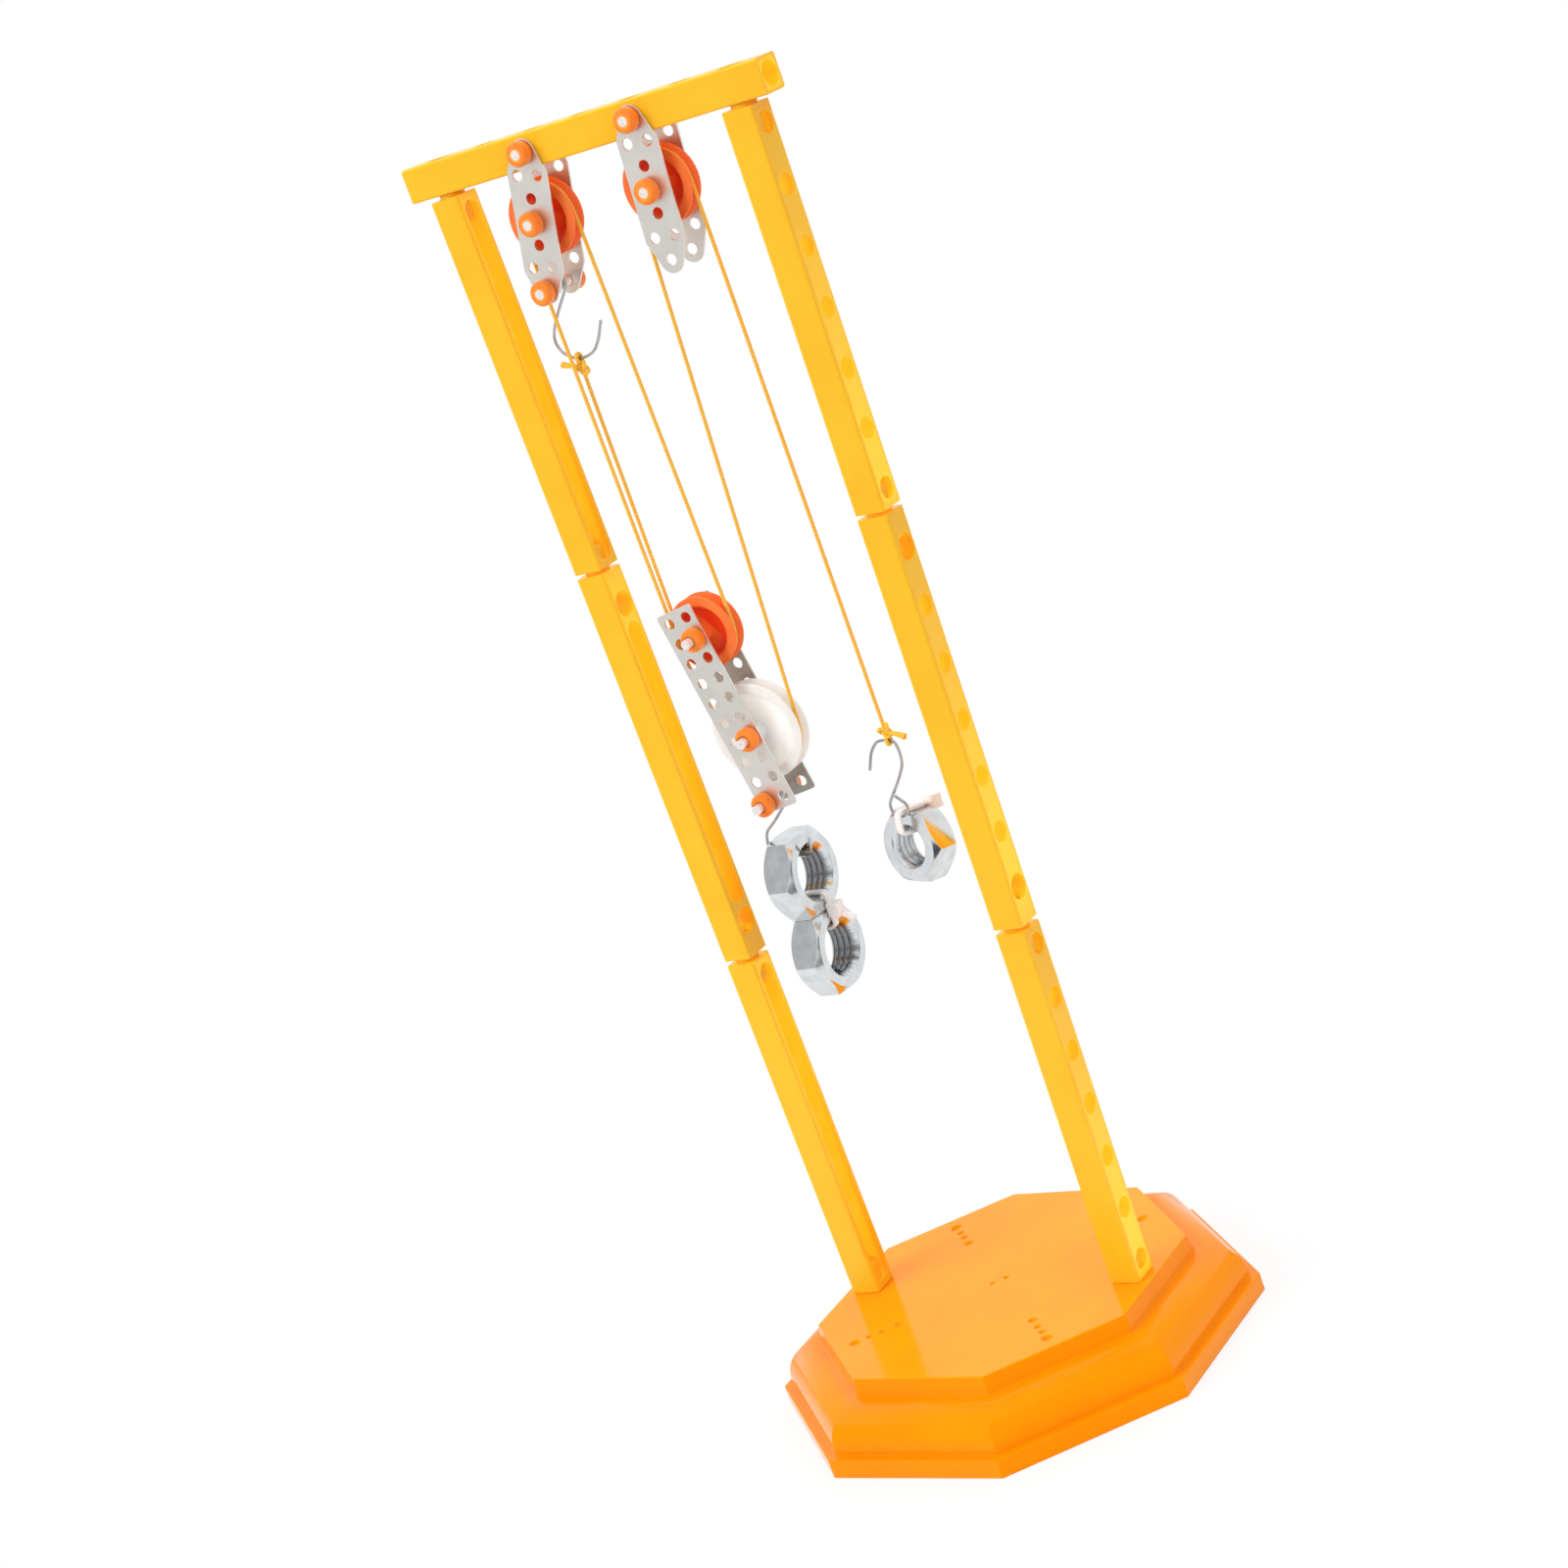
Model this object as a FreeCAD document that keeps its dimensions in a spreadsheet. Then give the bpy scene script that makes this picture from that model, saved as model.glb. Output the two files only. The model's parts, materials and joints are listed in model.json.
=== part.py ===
"""Pulley demonstrator: a splayed beam frame on an octagonal base, two hanging blocks,
a travelling load block with two wheels, one rigged cord and hexagon nuts as weights.

Frame: +Z up, origin at the centre of the base's underside, X along the crossbar,
the front of the apparatus faces -Y. Millimetres and degrees.
"""
import FreeCAD, Part

import math
import os

import Sketcher
from FreeCAD import Placement, Rotation, Vector

# Driving dimensions: alias, value, meaning.
SIZES = [
    # octagonal base moulding, half widths across flats
    ("base_half_width", 85.8, "half width of the foot band"),
    ("base_band_height", 7.3, "height of the foot band"),
    ("base_band_step", 3.4, "how far the moulding steps in above the foot band"),
    ("base_fillet_gap", 2.2, "upright strip between foot band and quarter round"),
    ("base_round_radius", 12.5, "radius of the quarter-round moulding"),
    ("base_ledge", 2.4, "flat ledge inside the quarter round"),
    ("base_collar_height", 6.75, "height of the steep side below the table"),
    ("base_collar_slope", 1.3, "inward lean of the steep side"),
    ("base_wall", 2.5, "wall of the hollow moulding"),
    ("boss_diameter", 16.0, "boss around each post socket under the table"),
    ("stud_hole_1_radius", 41.0, "innermost small hole of a diagonal row"),
    ("stud_hole_1_diameter", 3.2, "its diameter"),
    ("stud_hole_2_radius", 47.5, "second small hole"),
    ("stud_hole_3_radius", 52.5, "third small hole"),
    ("stud_hole_mid_diameter", 2.5, "diameter of the second and third holes"),
    ("stud_hole_4_radius", 58.4, "outermost small hole"),
    ("stud_hole_4_diameter", 4.0, "its diameter"),
    ("centre_hole_diameter", 1.8, "two pin holes at the middle of the table"),
    ("centre_hole_offset", 2.8, "each pin hole from the middle"),
    # construction beams
    ("beam_width", 12.0, "square section of every beam"),
    ("beam_edge_radius", 1.0, "rounding of the long edges"),
    ("hole_pitch", 21.0, "spacing of the holes along a beam"),
    ("hole_diameter", 7.7, "holes on one side and width of the slot on the other"),
    ("slot_depth", 8.0, "depth of the long slot"),
    ("end_beam_length", 139.2, "upper and lower beam of a post"),
    ("middle_beam_length", 152.6, "middle beam of a post and crossbar"),
    ("end_hole_diameter", 9.3, "through hole at each end of a middle beam"),
    ("middle_slot_span", 104.0, "slot of a middle beam between its end centres"),
    ("end_slot_span", 126.0, "slot of an end beam between its end centres"),
    ("peg_diameter", 9.0, "connecting pegs"),
    ("peg_fit", 0.03, "radial fit of a peg in a beam's end socket"),
    ("foot_socket_fit", 0.18, "radial play of a peg in the base, for the lean"),
    ("socket_depth", 10.0, "depth of every end socket that holds a peg"),
    ("open_socket_depth", 8.4, "depth of the crossbar's end sockets, up to the post pegs"),
    ("peg_end_chamfer", 0.6, "chamfer at both ends of a peg"),
    ("peg_floor_gap", 0.08, "peg above its socket's floor"),
    # frame
    ("post_foot_x", 56.5, "centre of each post at the table"),
    ("foot_gap", 0.2, "gap under each post"),
    ("lower_joint_gap", 2.0, "gap between lower and middle beam"),
    ("upper_joint_gap", 1.5, "gap between middle and upper beam"),
    ("crossbar_gap", 1.5, "gap under the crossbar"),
    # perforated strips of the blocks
    ("strip_thickness", 0.8, "steel strip"),
    ("strip_width", 16.0, "width of every strip"),
    ("strip_pitch", 8.0, "hole grid of the strips"),
    ("strip_hole_diameter", 4.0, "holes of the strips"),
    ("strip_end_radius", 4.6, "round ends of the hanging strips"),
    ("strip_shoulder", 6.8, "full width begins this far from the end hole"),
    ("strip_side_clearance", 0.2, "between a strip and the crossbar's side"),
    ("load_strip_length", 80.0, "long strips of the load block"),
    ("load_strip_corner", 1.2, "corner radius of the long strips"),
    # pins and collars
    ("pin_diameter", 3.6, "all steel pins"),
    ("pin_hole_diameter", 3.8, "cross holes of the crossbar for the hanger pins"),
    ("collar_diameter", 8.6, "push-on collars"),
    ("collar_length", 4.6, "their length"),
    ("collar_chamfer", 0.9, "their outer chamfer"),
    ("collar_fit", 0.02, "radial fit of a collar on its pin"),
    ("collar_gap", 0.2, "between collar and strip"),
    ("snap_opening", 2.4, "opening of a C-shaped collar"),
    ("snap_pin_overhang", 3.0, "pin past a C-shaped collar"),
    # wheels
    ("wheel_diameter", 27.0, "orange wheels"),
    ("wheel_cord_radius", 11.8, "centre of the cord on an orange wheel"),
    ("big_wheel_diameter", 36.5, "white wheel"),
    ("big_wheel_cord_radius", 16.4, "centre of the cord on the white wheel"),
    ("wheel_width", 6.0, "width over the flanges"),
    ("flange_land", 0.7, "width of a flange at its rim"),
    ("groove_floor_width", 2.0, "floor of the groove"),
    ("groove_clearance", 0.1, "cord above the floor of the groove"),
    ("rim_depth", 4.2, "rim, from outer edge to the side recess"),
    ("rim_bevel", 0.9, "bevel at the inner edge of a rim"),
    ("web_thickness", 2.0, "web between hub and rim"),
    ("hub_diameter", 6.6, "hub of every wheel"),
    ("hub_clearance", 0.35, "between hub and strip"),
    ("axle_fit", 0.1, "radial play of a wheel on its axle"),
    # hanging blocks
    ("left_block_x", -22.7, "hanger pin of the left block"),
    ("left_block_tilt", 12.9, "its lower end leans this far to -X"),
    ("right_block_x", 23.5, "hanger pin of the right block"),
    ("right_block_tilt", 4.0, "its lower end leans this far to -X"),
    ("load_block_x", -22.9, "centre of the load block"),
    ("load_block_z", 265.8, "its height"),
    ("load_block_tilt", 10.8, "its lower end leans this far to +X"),
    # nuts
    ("load_nut_flats", 30.0, "load nut across flats"),
    ("load_nut_thickness", 12.6, "its height"),
    ("load_nut_washer_diameter", 28.6, "its round face inside the chamfer"),
    ("load_nut_chamfer_height", 2.4, "corner chamfer down each corner"),
    ("load_nut_thread_root", 19.6, "deepest diameter of its thread"),
    ("load_nut_thread_crest", 17.6, "its bore at the thread crests"),
    ("load_nut_thread_pitch", 2.5, "thread pitch"),
    ("load_nut_countersink", 1.3, "countersink depth at both ends of the bore"),
    ("effort_nut_flats", 25.0, "the smaller effort nut across flats"),
    ("effort_nut_thickness", 11.0, "its height"),
    ("effort_nut_washer_diameter", 24.0, "its round face inside the chamfer"),
    ("effort_nut_chamfer_height", 1.8, "corner chamfer down each corner"),
    ("effort_nut_thread_root", 15.0, "deepest diameter of its thread"),
    ("effort_nut_thread_crest", 13.4, "its bore at the thread crests"),
    ("effort_nut_thread_pitch", 2.2, "thread pitch"),
    ("effort_nut_countersink", 0.7, "countersink depth at both ends of the bore"),
    ("load_nut_x", -21.7, "middle of the two load nuts, whose axes lie along X"),
    ("load_nut_z", 198.6, "centre of the upper load nut"),
    ("nut_seat_gap", 0.05, "between the two load nuts"),
    ("effort_nut_x", 31.6, "centre of the effort nut"),
    ("effort_nut_z", 204.1, "its height"),
    ("effort_nut_turn", -14.5, "turn of its axis about the vertical"),
    ("effort_nut_tilt", 10.5, "its front face leans back, because it hangs by its front rim"),
    ("effort_nut_roll", -5.3, "roll of the nut about its axis"),
    # wire hooks, cord and ties
    ("wire_diameter", 1.1, "wire of the hooks"),
    ("pin_loop_fit", 0.1, "closed loop of a hook around its pin"),
    ("anchor_hook_drop", 26.5, "anchor hook from its pin to the foot of its bend"),
    ("anchor_hook_y", 1.0, "plane of the anchor hook, behind the passing cord"),
    ("load_hook_shank", 13.6, "load hook from its pin to where it turns down to the nut"),
    ("load_hook_rise", 6.0, "its tip above its seat in the nut"),
    ("effort_hook_drop", 27.0, "effort hook from its crest to the foot of its eye"),
    ("cord_diameter", 1.5, "braided cord"),
    ("cord_front_y", -4.4, "where the cord passes in front of the upper load wheel"),
    ("knot_diameter", 4.2, "knots at both ends of the cord"),
    ("cord_loop_fit", 0.15, "cord loop around a hook's wire"),
    ("loop_sink", 0.6, "how far a cord loop sinks into its knot"),
    ("effort_knot_z", 246.1, "centre of the knot above the effort hook"),
    ("tie_thickness", 1.0, "band of a cable tie"),
    ("tie_width", 2.6, "its width"),
    ("tie_clearance", 0.35, "band clear of the nut"),
    ("tie_corner", 1.6, "inner corner radius of the band"),
    ("tie_head_size", 5.0, "head of a cable tie"),
    ("tie_head_depth", 4.2, "head along the band's width"),
    ("effort_tie_shift", 1.75, "band of the effort nut beside the nut's middle"),
    ("effort_tie_reach", 2.9, "band bulges this far in front of the nut, through the hook's eye"),
    ("load_tie_tail", 4.4, "tail of the load nuts' tie past its head"),
    ("load_tie_droop", 3.7, "how far that tail droops"),
    ("effort_tie_tail", 1.5, "tail of the effort nut's tie past its head"),
    ("effort_tie_droop", 2.6, "how far that tail droops"),
]

HOLE_INDEXES = range(-3, 4)
STRIP_ROWS = 7
HANGER_ROW = 0
AXLE_ROW = 3
BECKET_ROW = 6
LOAD_STRIP_ROWS = 10
# Sine of the angle under which two directions count as parallel.
PARALLEL = 1e-6
X_AXIS = Vector(1, 0, 0)
Y_AXIS = Vector(0, 1, 0)
Z_AXIS = Vector(0, 0, 1)

DOC = FreeCAD.newDocument("PulleyDemonstrator")
SHEET = DOC.addObject("Spreadsheet::Sheet", "Sizes")
for row, (alias, amount, meaning) in enumerate(SIZES, start=1):
    SHEET.set(f"A{row}", meaning)
    SHEET.set(f"B{row}", str(amount))
    SHEET.setAlias(f"B{row}", alias)
DOC.recompute()

NODES = []


# ---------------------------------------------------------------- expressions
def cell(alias):
    """Expression that reads one driving dimension."""
    return f"Sizes.{alias}"


def value(expression):
    """Number that an expression gives now."""
    return float(SHEET.evalExpression(str(expression)))


def half(expression):
    return f"(({expression}) / 2)"


def minus(expression):
    return f"(-({expression}))"


# Derived lengths, as expressions of the driving ones.
BASE_STEP = f"({cell('base_band_height')} + {cell('base_fillet_gap')})"
BASE_SHELF = f"({BASE_STEP} + {cell('base_round_radius')})"
BASE_HEIGHT = f"({BASE_SHELF} + {cell('base_collar_height')})"
ROUND_FOOT = f"({cell('base_half_width')} - {cell('base_band_step')})"
ROUND_TOP = f"({ROUND_FOOT} - {cell('base_round_radius')})"
COLLAR_FOOT = f"({ROUND_TOP} - {cell('base_ledge')})"
COLLAR_TOP = f"({COLLAR_FOOT} - {cell('base_collar_slope')})"

MIDDLE_START = f"({cell('foot_gap')} + {cell('end_beam_length')} + {cell('lower_joint_gap')})"
UPPER_START = f"({MIDDLE_START} + {cell('middle_beam_length')} + {cell('upper_joint_gap')})"
POST_LENGTH = f"({UPPER_START} + {cell('end_beam_length')})"
POST_TOP_X = f"(3 * {cell('hole_pitch')})"
POST_LEAN = f"asin(({POST_TOP_X} - {cell('post_foot_x')}) / {POST_LENGTH})"
POST_TOP_Z = f"({BASE_HEIGHT} + {POST_LENGTH} * cos({POST_LEAN}))"
CROSSBAR_Z = f"({POST_TOP_Z} + {cell('crossbar_gap')} + {half(cell('beam_width'))})"

STRIP_FACE = f"({half(cell('beam_width'))} + {cell('strip_side_clearance')})"
STRIP_BACK = f"({STRIP_FACE} + {cell('strip_thickness')})"
COLLAR_FACE = f"({STRIP_BACK} + {cell('collar_gap')})"
PIN_HALF = f"({COLLAR_FACE} + {cell('collar_length')})"
SNAP_PIN_HALF = f"({PIN_HALF} + {cell('snap_pin_overhang')})"
PIN_RADIUS = half(cell("pin_diameter"))
WIRE_LOOP_RADIUS = f"({PIN_RADIUS} + {cell('pin_loop_fit')} + {half(cell('wire_diameter'))})"


# ---------------------------------------------------------------- placing
def place(thing, x="0", y="0", z="0", rotation=None, tilt=None, axis=Y_AXIS):
    """Put an object at x, y, z; tilt is an angle about the axis, as an expression."""
    turn = rotation or Rotation()
    if tilt is not None:
        turn = Rotation(axis, value(tilt))
    thing.Placement = Placement(Vector(value(x), value(y), value(z)), turn)
    for letter, expression in zip("xyz", (x, y, z)):
        thing.setExpression(f"Placement.Base.{letter}", expression)
    if tilt is not None:
        thing.setExpression("Placement.Rotation.Angle", tilt)
    return thing


def keep(thing, label):
    """Name a finished piece: the label is the node and the file name."""
    thing.Label = label
    NODES.append(thing)
    return thing


# ---------------------------------------------------------------- sketches
def origin_plane(body, role):
    for feature in body.Origin.OriginFeatures:
        if feature.Role == role:
            return feature
    raise ValueError(role)


def new_body(name):
    body = DOC.addObject("PartDesign::Body", name)
    body.AllowCompound = True
    return body


def new_sketch(body, name, role, offset="0"):
    """Sketch on an origin plane of the body, moved along the plane's normal."""
    sketch = body.newObject("Sketcher::SketchObject", name)
    sketch.AttachmentSupport = [(origin_plane(body, role), "")]
    sketch.MapMode = "FlatFace"
    sketch.setExpression("AttachmentOffset.Base.z", offset)
    return sketch


def bind(sketch, constraint, expression):
    index = sketch.addConstraint(constraint)
    sketch.setExpression(f"Constraints[{index}]", expression)


def pin_point(sketch, geometry, position, x, y):
    """Hold one point of the sketch at x, y from its origin."""
    if abs(value(x)) < 1e-9:
        sketch.addConstraint(Sketcher.Constraint("PointOnObject", geometry, position, -2))
    else:
        bind(sketch, Sketcher.Constraint("DistanceX", -1, 1, geometry, position, value(x)), x)
    if abs(value(y)) < 1e-9:
        sketch.addConstraint(Sketcher.Constraint("PointOnObject", geometry, position, -1))
    else:
        bind(sketch, Sketcher.Constraint("DistanceY", -1, 1, geometry, position, value(y)), y)


def add_circle(sketch, x, y, diameter):
    circle = Part.Circle(Vector(value(x), value(y), 0), Z_AXIS, value(diameter) / 2)
    index = sketch.addGeometry(circle)
    pin_point(sketch, index, 3, x, y)
    bind(sketch, Sketcher.Constraint("Diameter", index, value(diameter)), diameter)


def add_outline(sketch, points):
    """Closed outline through points (x, y) or (x, y, centre x, centre y).

    A point with a centre starts an arc, counter-clockwise, to the next point.
    """
    first = sketch.GeometryCount
    count = len(points)
    for number, point in enumerate(points):
        follower = points[(number + 1) % count]
        start = Vector(value(point[0]), value(point[1]), 0)
        end = Vector(value(follower[0]), value(follower[1]), 0)
        if len(point) == 2:
            sketch.addGeometry(Part.LineSegment(start, end))
            continue
        centre = Vector(value(point[2]), value(point[3]), 0)
        begin = math.atan2(start.y - centre.y, start.x - centre.x)
        finish = math.atan2(end.y - centre.y, end.x - centre.x)
        circle = Part.Circle(centre, Z_AXIS, (start - centre).Length)
        sketch.addGeometry(Part.ArcOfCircle(circle, begin, finish))
    for number, point in enumerate(points):
        geometry = first + number
        follower = first + (number + 1) % count
        sketch.addConstraint(Sketcher.Constraint("Coincident", geometry, 2, follower, 1))
        pin_point(sketch, geometry, 1, point[0], point[1])
        if len(point) == 4:
            hold_arc_centre(sketch, geometry, point)


def hold_arc_centre(sketch, geometry, point):
    """Fix an arc's centre along the axis in which its start point differs most from it."""
    across = abs(value(point[0]) - value(point[2]))
    along = abs(value(point[1]) - value(point[3]))
    kind, expression = ("DistanceX", point[2]) if along >= across else ("DistanceY", point[3])
    amount = value(expression)
    if abs(amount) < 1e-9:
        axis = -2 if kind == "DistanceX" else -1
        sketch.addConstraint(Sketcher.Constraint("PointOnObject", geometry, 3, axis))
    else:
        bind(sketch, Sketcher.Constraint(kind, -1, 1, geometry, 3, amount), expression)


def rounded_rectangle(left, right, bottom, top, radius):
    """Outline of a rectangle with round corners, counter-clockwise."""
    inner_left = f"({left} + {radius})"
    inner_right = f"({right} - {radius})"
    inner_bottom = f"({bottom} + {radius})"
    inner_top = f"({top} - {radius})"
    return [
        (inner_left, bottom),
        (inner_right, bottom, inner_right, inner_bottom),
        (right, inner_bottom),
        (right, inner_top, inner_right, inner_top),
        (inner_right, top),
        (inner_left, top, inner_left, inner_top),
        (left, inner_top),
        (left, inner_bottom, inner_left, inner_bottom),
    ]


def rectangle(left, right, bottom, top):
    return [(left, bottom), (right, bottom), (right, top), (left, top)]


def slot_outline(half_span, radius):
    """Upright slot: half_span from the middle to each end centre."""
    return [
        (radius, minus(half_span)),
        (radius, half_span, "0", half_span),
        (minus(radius), half_span),
        (minus(radius), minus(half_span), "0", minus(half_span)),
    ]


# ---------------------------------------------------------------- features
def pad(body, sketch, length, backwards=False):
    feature = body.newObject("PartDesign::Pad", f"{sketch.Name}_pad")
    feature.Profile = sketch
    feature.Reversed = backwards
    feature.setExpression("Length", length)
    body.Tip = feature
    DOC.recompute()
    return feature


def pocket(body, sketch, depth, backwards=False):
    """Cut a sketch into the body and make sure that it really cuts."""
    before = body.Shape.Volume
    feature = body.newObject("PartDesign::Pocket", f"{sketch.Name}_pocket")
    feature.Profile = sketch
    feature.Reversed = backwards
    feature.setExpression("Length", depth)
    body.Tip = feature
    DOC.recompute()
    if body.Shape.Volume >= before:
        raise ValueError(f"{feature.Name} cuts nothing")
    return feature


def round_edges(body, name, base, radius, direction):
    """Fillet every straight edge of the base feature that runs along a direction."""
    names = []
    for number, edge in enumerate(base.Shape.Edges, start=1):
        if edge.Curve.TypeId != "Part::GeomLine":
            continue
        if edge.tangentAt(edge.FirstParameter).cross(direction).Length < PARALLEL:
            names.append(f"Edge{number}")
    feature = body.newObject("PartDesign::Fillet", f"{name}_fillet")
    feature.Base = (base, names)
    feature.setExpression("Radius", radius)
    body.Tip = feature
    DOC.recompute()
    return feature


def turn_profile(body, sketch, axis, kind="PartDesign::Revolution"):
    feature = body.newObject(kind, f"{sketch.Name}_turned")
    feature.Profile = sketch
    feature.ReferenceAxis = (sketch, [axis])
    feature.Angle = 360
    body.Tip = feature
    DOC.recompute()
    return feature


def cylinder(name, diameter, length, x="0", y="0", z="0", axis="Z"):
    """Cylinder centred at x, y, z with its axis along X, Y or Z."""
    thing = DOC.addObject("Part::Cylinder", name)
    thing.setExpression("Radius", half(diameter))
    thing.setExpression("Height", length)
    start = {
        "X": (f"{x} - {half(length)}", y, z),
        "Y": (x, f"{y} - {half(length)}", z),
        "Z": (x, y, f"{z} - {half(length)}"),
    }[axis]
    turn = {
        "X": Rotation(Y_AXIS, 90),
        "Y": Rotation(X_AXIS, -90),
        "Z": Rotation(),
    }[axis]
    return place(thing, *start, rotation=turn)


def combine(kind, name, shapes):
    """Part::MultiFuse or Part::Compound of several shapes."""
    thing = DOC.addObject(kind, name)
    if kind == "Part::Compound":
        thing.Links = shapes
    else:
        thing.Shapes = shapes
    return thing


def cut(name, base, tool):
    thing = DOC.addObject("Part::Cut", name)
    thing.Base = base
    thing.Tool = tool
    return thing


# ---------------------------------------------------------------- base moulding
def outer_moulding():
    right = [
        (cell("base_half_width"), "0"),
        (cell("base_half_width"), cell("base_band_height")),
        (ROUND_FOOT, cell("base_band_height")),
        (ROUND_FOOT, BASE_STEP, ROUND_TOP, BASE_STEP),
        (ROUND_TOP, BASE_SHELF),
        (COLLAR_FOOT, BASE_SHELF),
        (COLLAR_TOP, BASE_HEIGHT),
    ]
    left = [
        (minus(COLLAR_TOP), BASE_HEIGHT),
        (minus(COLLAR_FOOT), BASE_SHELF),
        (minus(ROUND_TOP), BASE_SHELF, minus(ROUND_TOP), BASE_STEP),
        (minus(ROUND_FOOT), BASE_STEP),
        (minus(ROUND_FOOT), cell("base_band_height")),
        (minus(cell("base_half_width")), cell("base_band_height")),
        (minus(cell("base_half_width")), "0"),
    ]
    return right + left


def inner_moulding():
    wall = cell("base_wall")
    side = f"({ROUND_FOOT} - {wall})"
    shelf = f"({BASE_SHELF} - {wall})"
    collar_foot = f"({COLLAR_FOOT} - {wall})"
    collar_top = f"({COLLAR_TOP} - {wall})"
    ceiling = f"({BASE_HEIGHT} - {wall})"
    floor = minus(wall)
    right = [
        (side, floor),
        (side, BASE_STEP, ROUND_TOP, BASE_STEP),
        (ROUND_TOP, shelf),
        (collar_foot, shelf),
        (collar_top, ceiling),
    ]
    left = [
        (minus(collar_top), ceiling),
        (minus(collar_foot), shelf),
        (minus(ROUND_TOP), shelf, minus(ROUND_TOP), BASE_STEP),
        (minus(side), BASE_STEP),
        (minus(side), floor),
    ]
    return right + left


# Each bar of the octagon is this many half widths long: more than corner to corner.
BAR_REACH = 2.4


def octagon_of(name, profile):
    """Four bars of one profile, turned by 45 degrees: what they share is the octagon."""
    bars = []
    upright = Rotation(X_AXIS, 90)
    for number in range(4):
        sketch = DOC.addObject("Sketcher::SketchObject", f"{name}_profile_{number}")
        sketch.Placement = Placement(Vector(), Rotation(Z_AXIS, 45 * number) * upright)
        add_outline(sketch, profile)
        bar = DOC.addObject("Part::Extrusion", f"{name}_bar_{number}")
        bar.Base = sketch
        bar.DirMode = "Normal"
        bar.Solid = True
        bar.Symmetric = True
        bar.setExpression("LengthFwd", f"{BAR_REACH} * {cell('base_half_width')}")
        bars.append(bar)
    octagon = DOC.addObject("Part::MultiCommon", f"{name}_octagon")
    octagon.Shapes = bars
    return octagon


def make_post_sockets():
    """Boss and socket of both posts, as lists of what is added and what is cut."""
    boss_length = f"({cell('socket_depth')} + {cell('base_wall')})"
    boss_middle = f"{BASE_HEIGHT} - {half(boss_length)}"
    socket_length = f"(2 * {cell('socket_depth')})"
    socket_diameter = f"({cell('peg_diameter')} + 2 * {cell('foot_socket_fit')})"
    bosses = []
    sockets = []
    for side, sign in (("left", "-"), ("right", "")):
        x = f"({sign}{cell('post_foot_x')})"
        boss = cylinder(f"{side}_boss", cell("boss_diameter"), boss_length, x, "0", boss_middle)
        socket = cylinder(f"{side}_foot_socket", socket_diameter, socket_length, x, "0", BASE_HEIGHT)
        bosses.append(boss)
        sockets.append(socket)
    return bosses, sockets


def make_table_holes():
    """Four small holes along each diagonal, and the two pin holes at the middle."""
    row = [
        ("stud_hole_1_radius", "stud_hole_1_diameter"),
        ("stud_hole_2_radius", "stud_hole_mid_diameter"),
        ("stud_hole_3_radius", "stud_hole_mid_diameter"),
        ("stud_hole_4_radius", "stud_hole_4_diameter"),
    ]
    through = f"(3 * {cell('base_wall')})"
    holes = []
    for corner, (x_sign, y_sign) in enumerate([(1, 1), (-1, 1), (-1, -1), (1, -1)]):
        for number, (radius, diameter) in enumerate(row):
            x = f"{x_sign} * {cell(radius)} / sqrt(2)"
            y = f"{y_sign} * {cell(radius)} / sqrt(2)"
            name = f"stud_hole_{corner}_{number}"
            holes.append(cylinder(name, cell(diameter), through, x, y, BASE_HEIGHT))
    for word, sign in (("front", -1), ("back", 1)):
        reach = f"{sign} * {cell('centre_hole_offset')} / sqrt(2)"
        name = f"centre_hole_{word}"
        holes.append(cylinder(name, cell("centre_hole_diameter"), through, reach, reach, BASE_HEIGHT))
    return holes


def make_base():
    outer = octagon_of("base_outer", outer_moulding())
    inner = octagon_of("base_inner", inner_moulding())
    shell = cut("base_shell", outer, inner)
    bosses, sockets = make_post_sockets()
    body = combine("Part::MultiFuse", "base_body", [shell] + bosses)
    holes = combine("Part::MultiFuse", "base_holes", sockets + make_table_holes())
    keep(cut("base", body, holes), "base_plinth")


# ---------------------------------------------------------------- beams and pegs
def make_beam(name, length, small_holes, end_holes, slot_span, socket_depth):
    """Beam along Z, centred: holes open on +X, the slot opens on -X."""
    body = new_body(name)
    side = half(cell("beam_width"))
    section = new_sketch(body, f"{name}_section", "XY_Plane", minus(half(length)))
    add_outline(section, rectangle(minus(side), side, minus(side), side))
    bar = pad(body, section, length)
    round_edges(body, name, bar, cell("beam_edge_radius"), Vector(0, 0, 1))

    holes = new_sketch(body, f"{name}_holes", "YZ_Plane", side)
    for index in small_holes:
        add_circle(holes, "0", f"{index} * {cell('hole_pitch')}", cell("hole_diameter"))
    for index in end_holes:
        add_circle(holes, "0", f"{index} * {cell('hole_pitch')}", cell("end_hole_diameter"))
    pocket(body, holes, cell("beam_width"))

    slot = new_sketch(body, f"{name}_slot", "YZ_Plane", minus(side))
    add_outline(slot, slot_outline(half(slot_span), half(cell("hole_diameter"))))
    pocket(body, slot, cell("slot_depth"), backwards=True)

    socket_diameter = f"({cell('peg_diameter')} + 2 * {cell('peg_fit')})"
    ends = (("lower", minus(half(length)), True), ("upper", half(length), False))
    for end, offset, backwards in ends:
        socket = new_sketch(body, f"{name}_{end}_socket", "XY_Plane", offset)
        add_circle(socket, "0", "0", socket_diameter)
        pocket(body, socket, socket_depth, backwards=backwards)
    return body


def make_end_beam(name):
    length = cell("end_beam_length")
    return make_beam(name, length, HOLE_INDEXES, [], cell("end_slot_span"), cell("socket_depth"))


def make_middle_beam(name, socket_depth=cell("socket_depth")):
    length = cell("middle_beam_length")
    small = HOLE_INDEXES[1:-1]
    ends = [HOLE_INDEXES[0], HOLE_INDEXES[-1]]
    return make_beam(name, length, small, ends, cell("middle_slot_span"), socket_depth)


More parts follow.
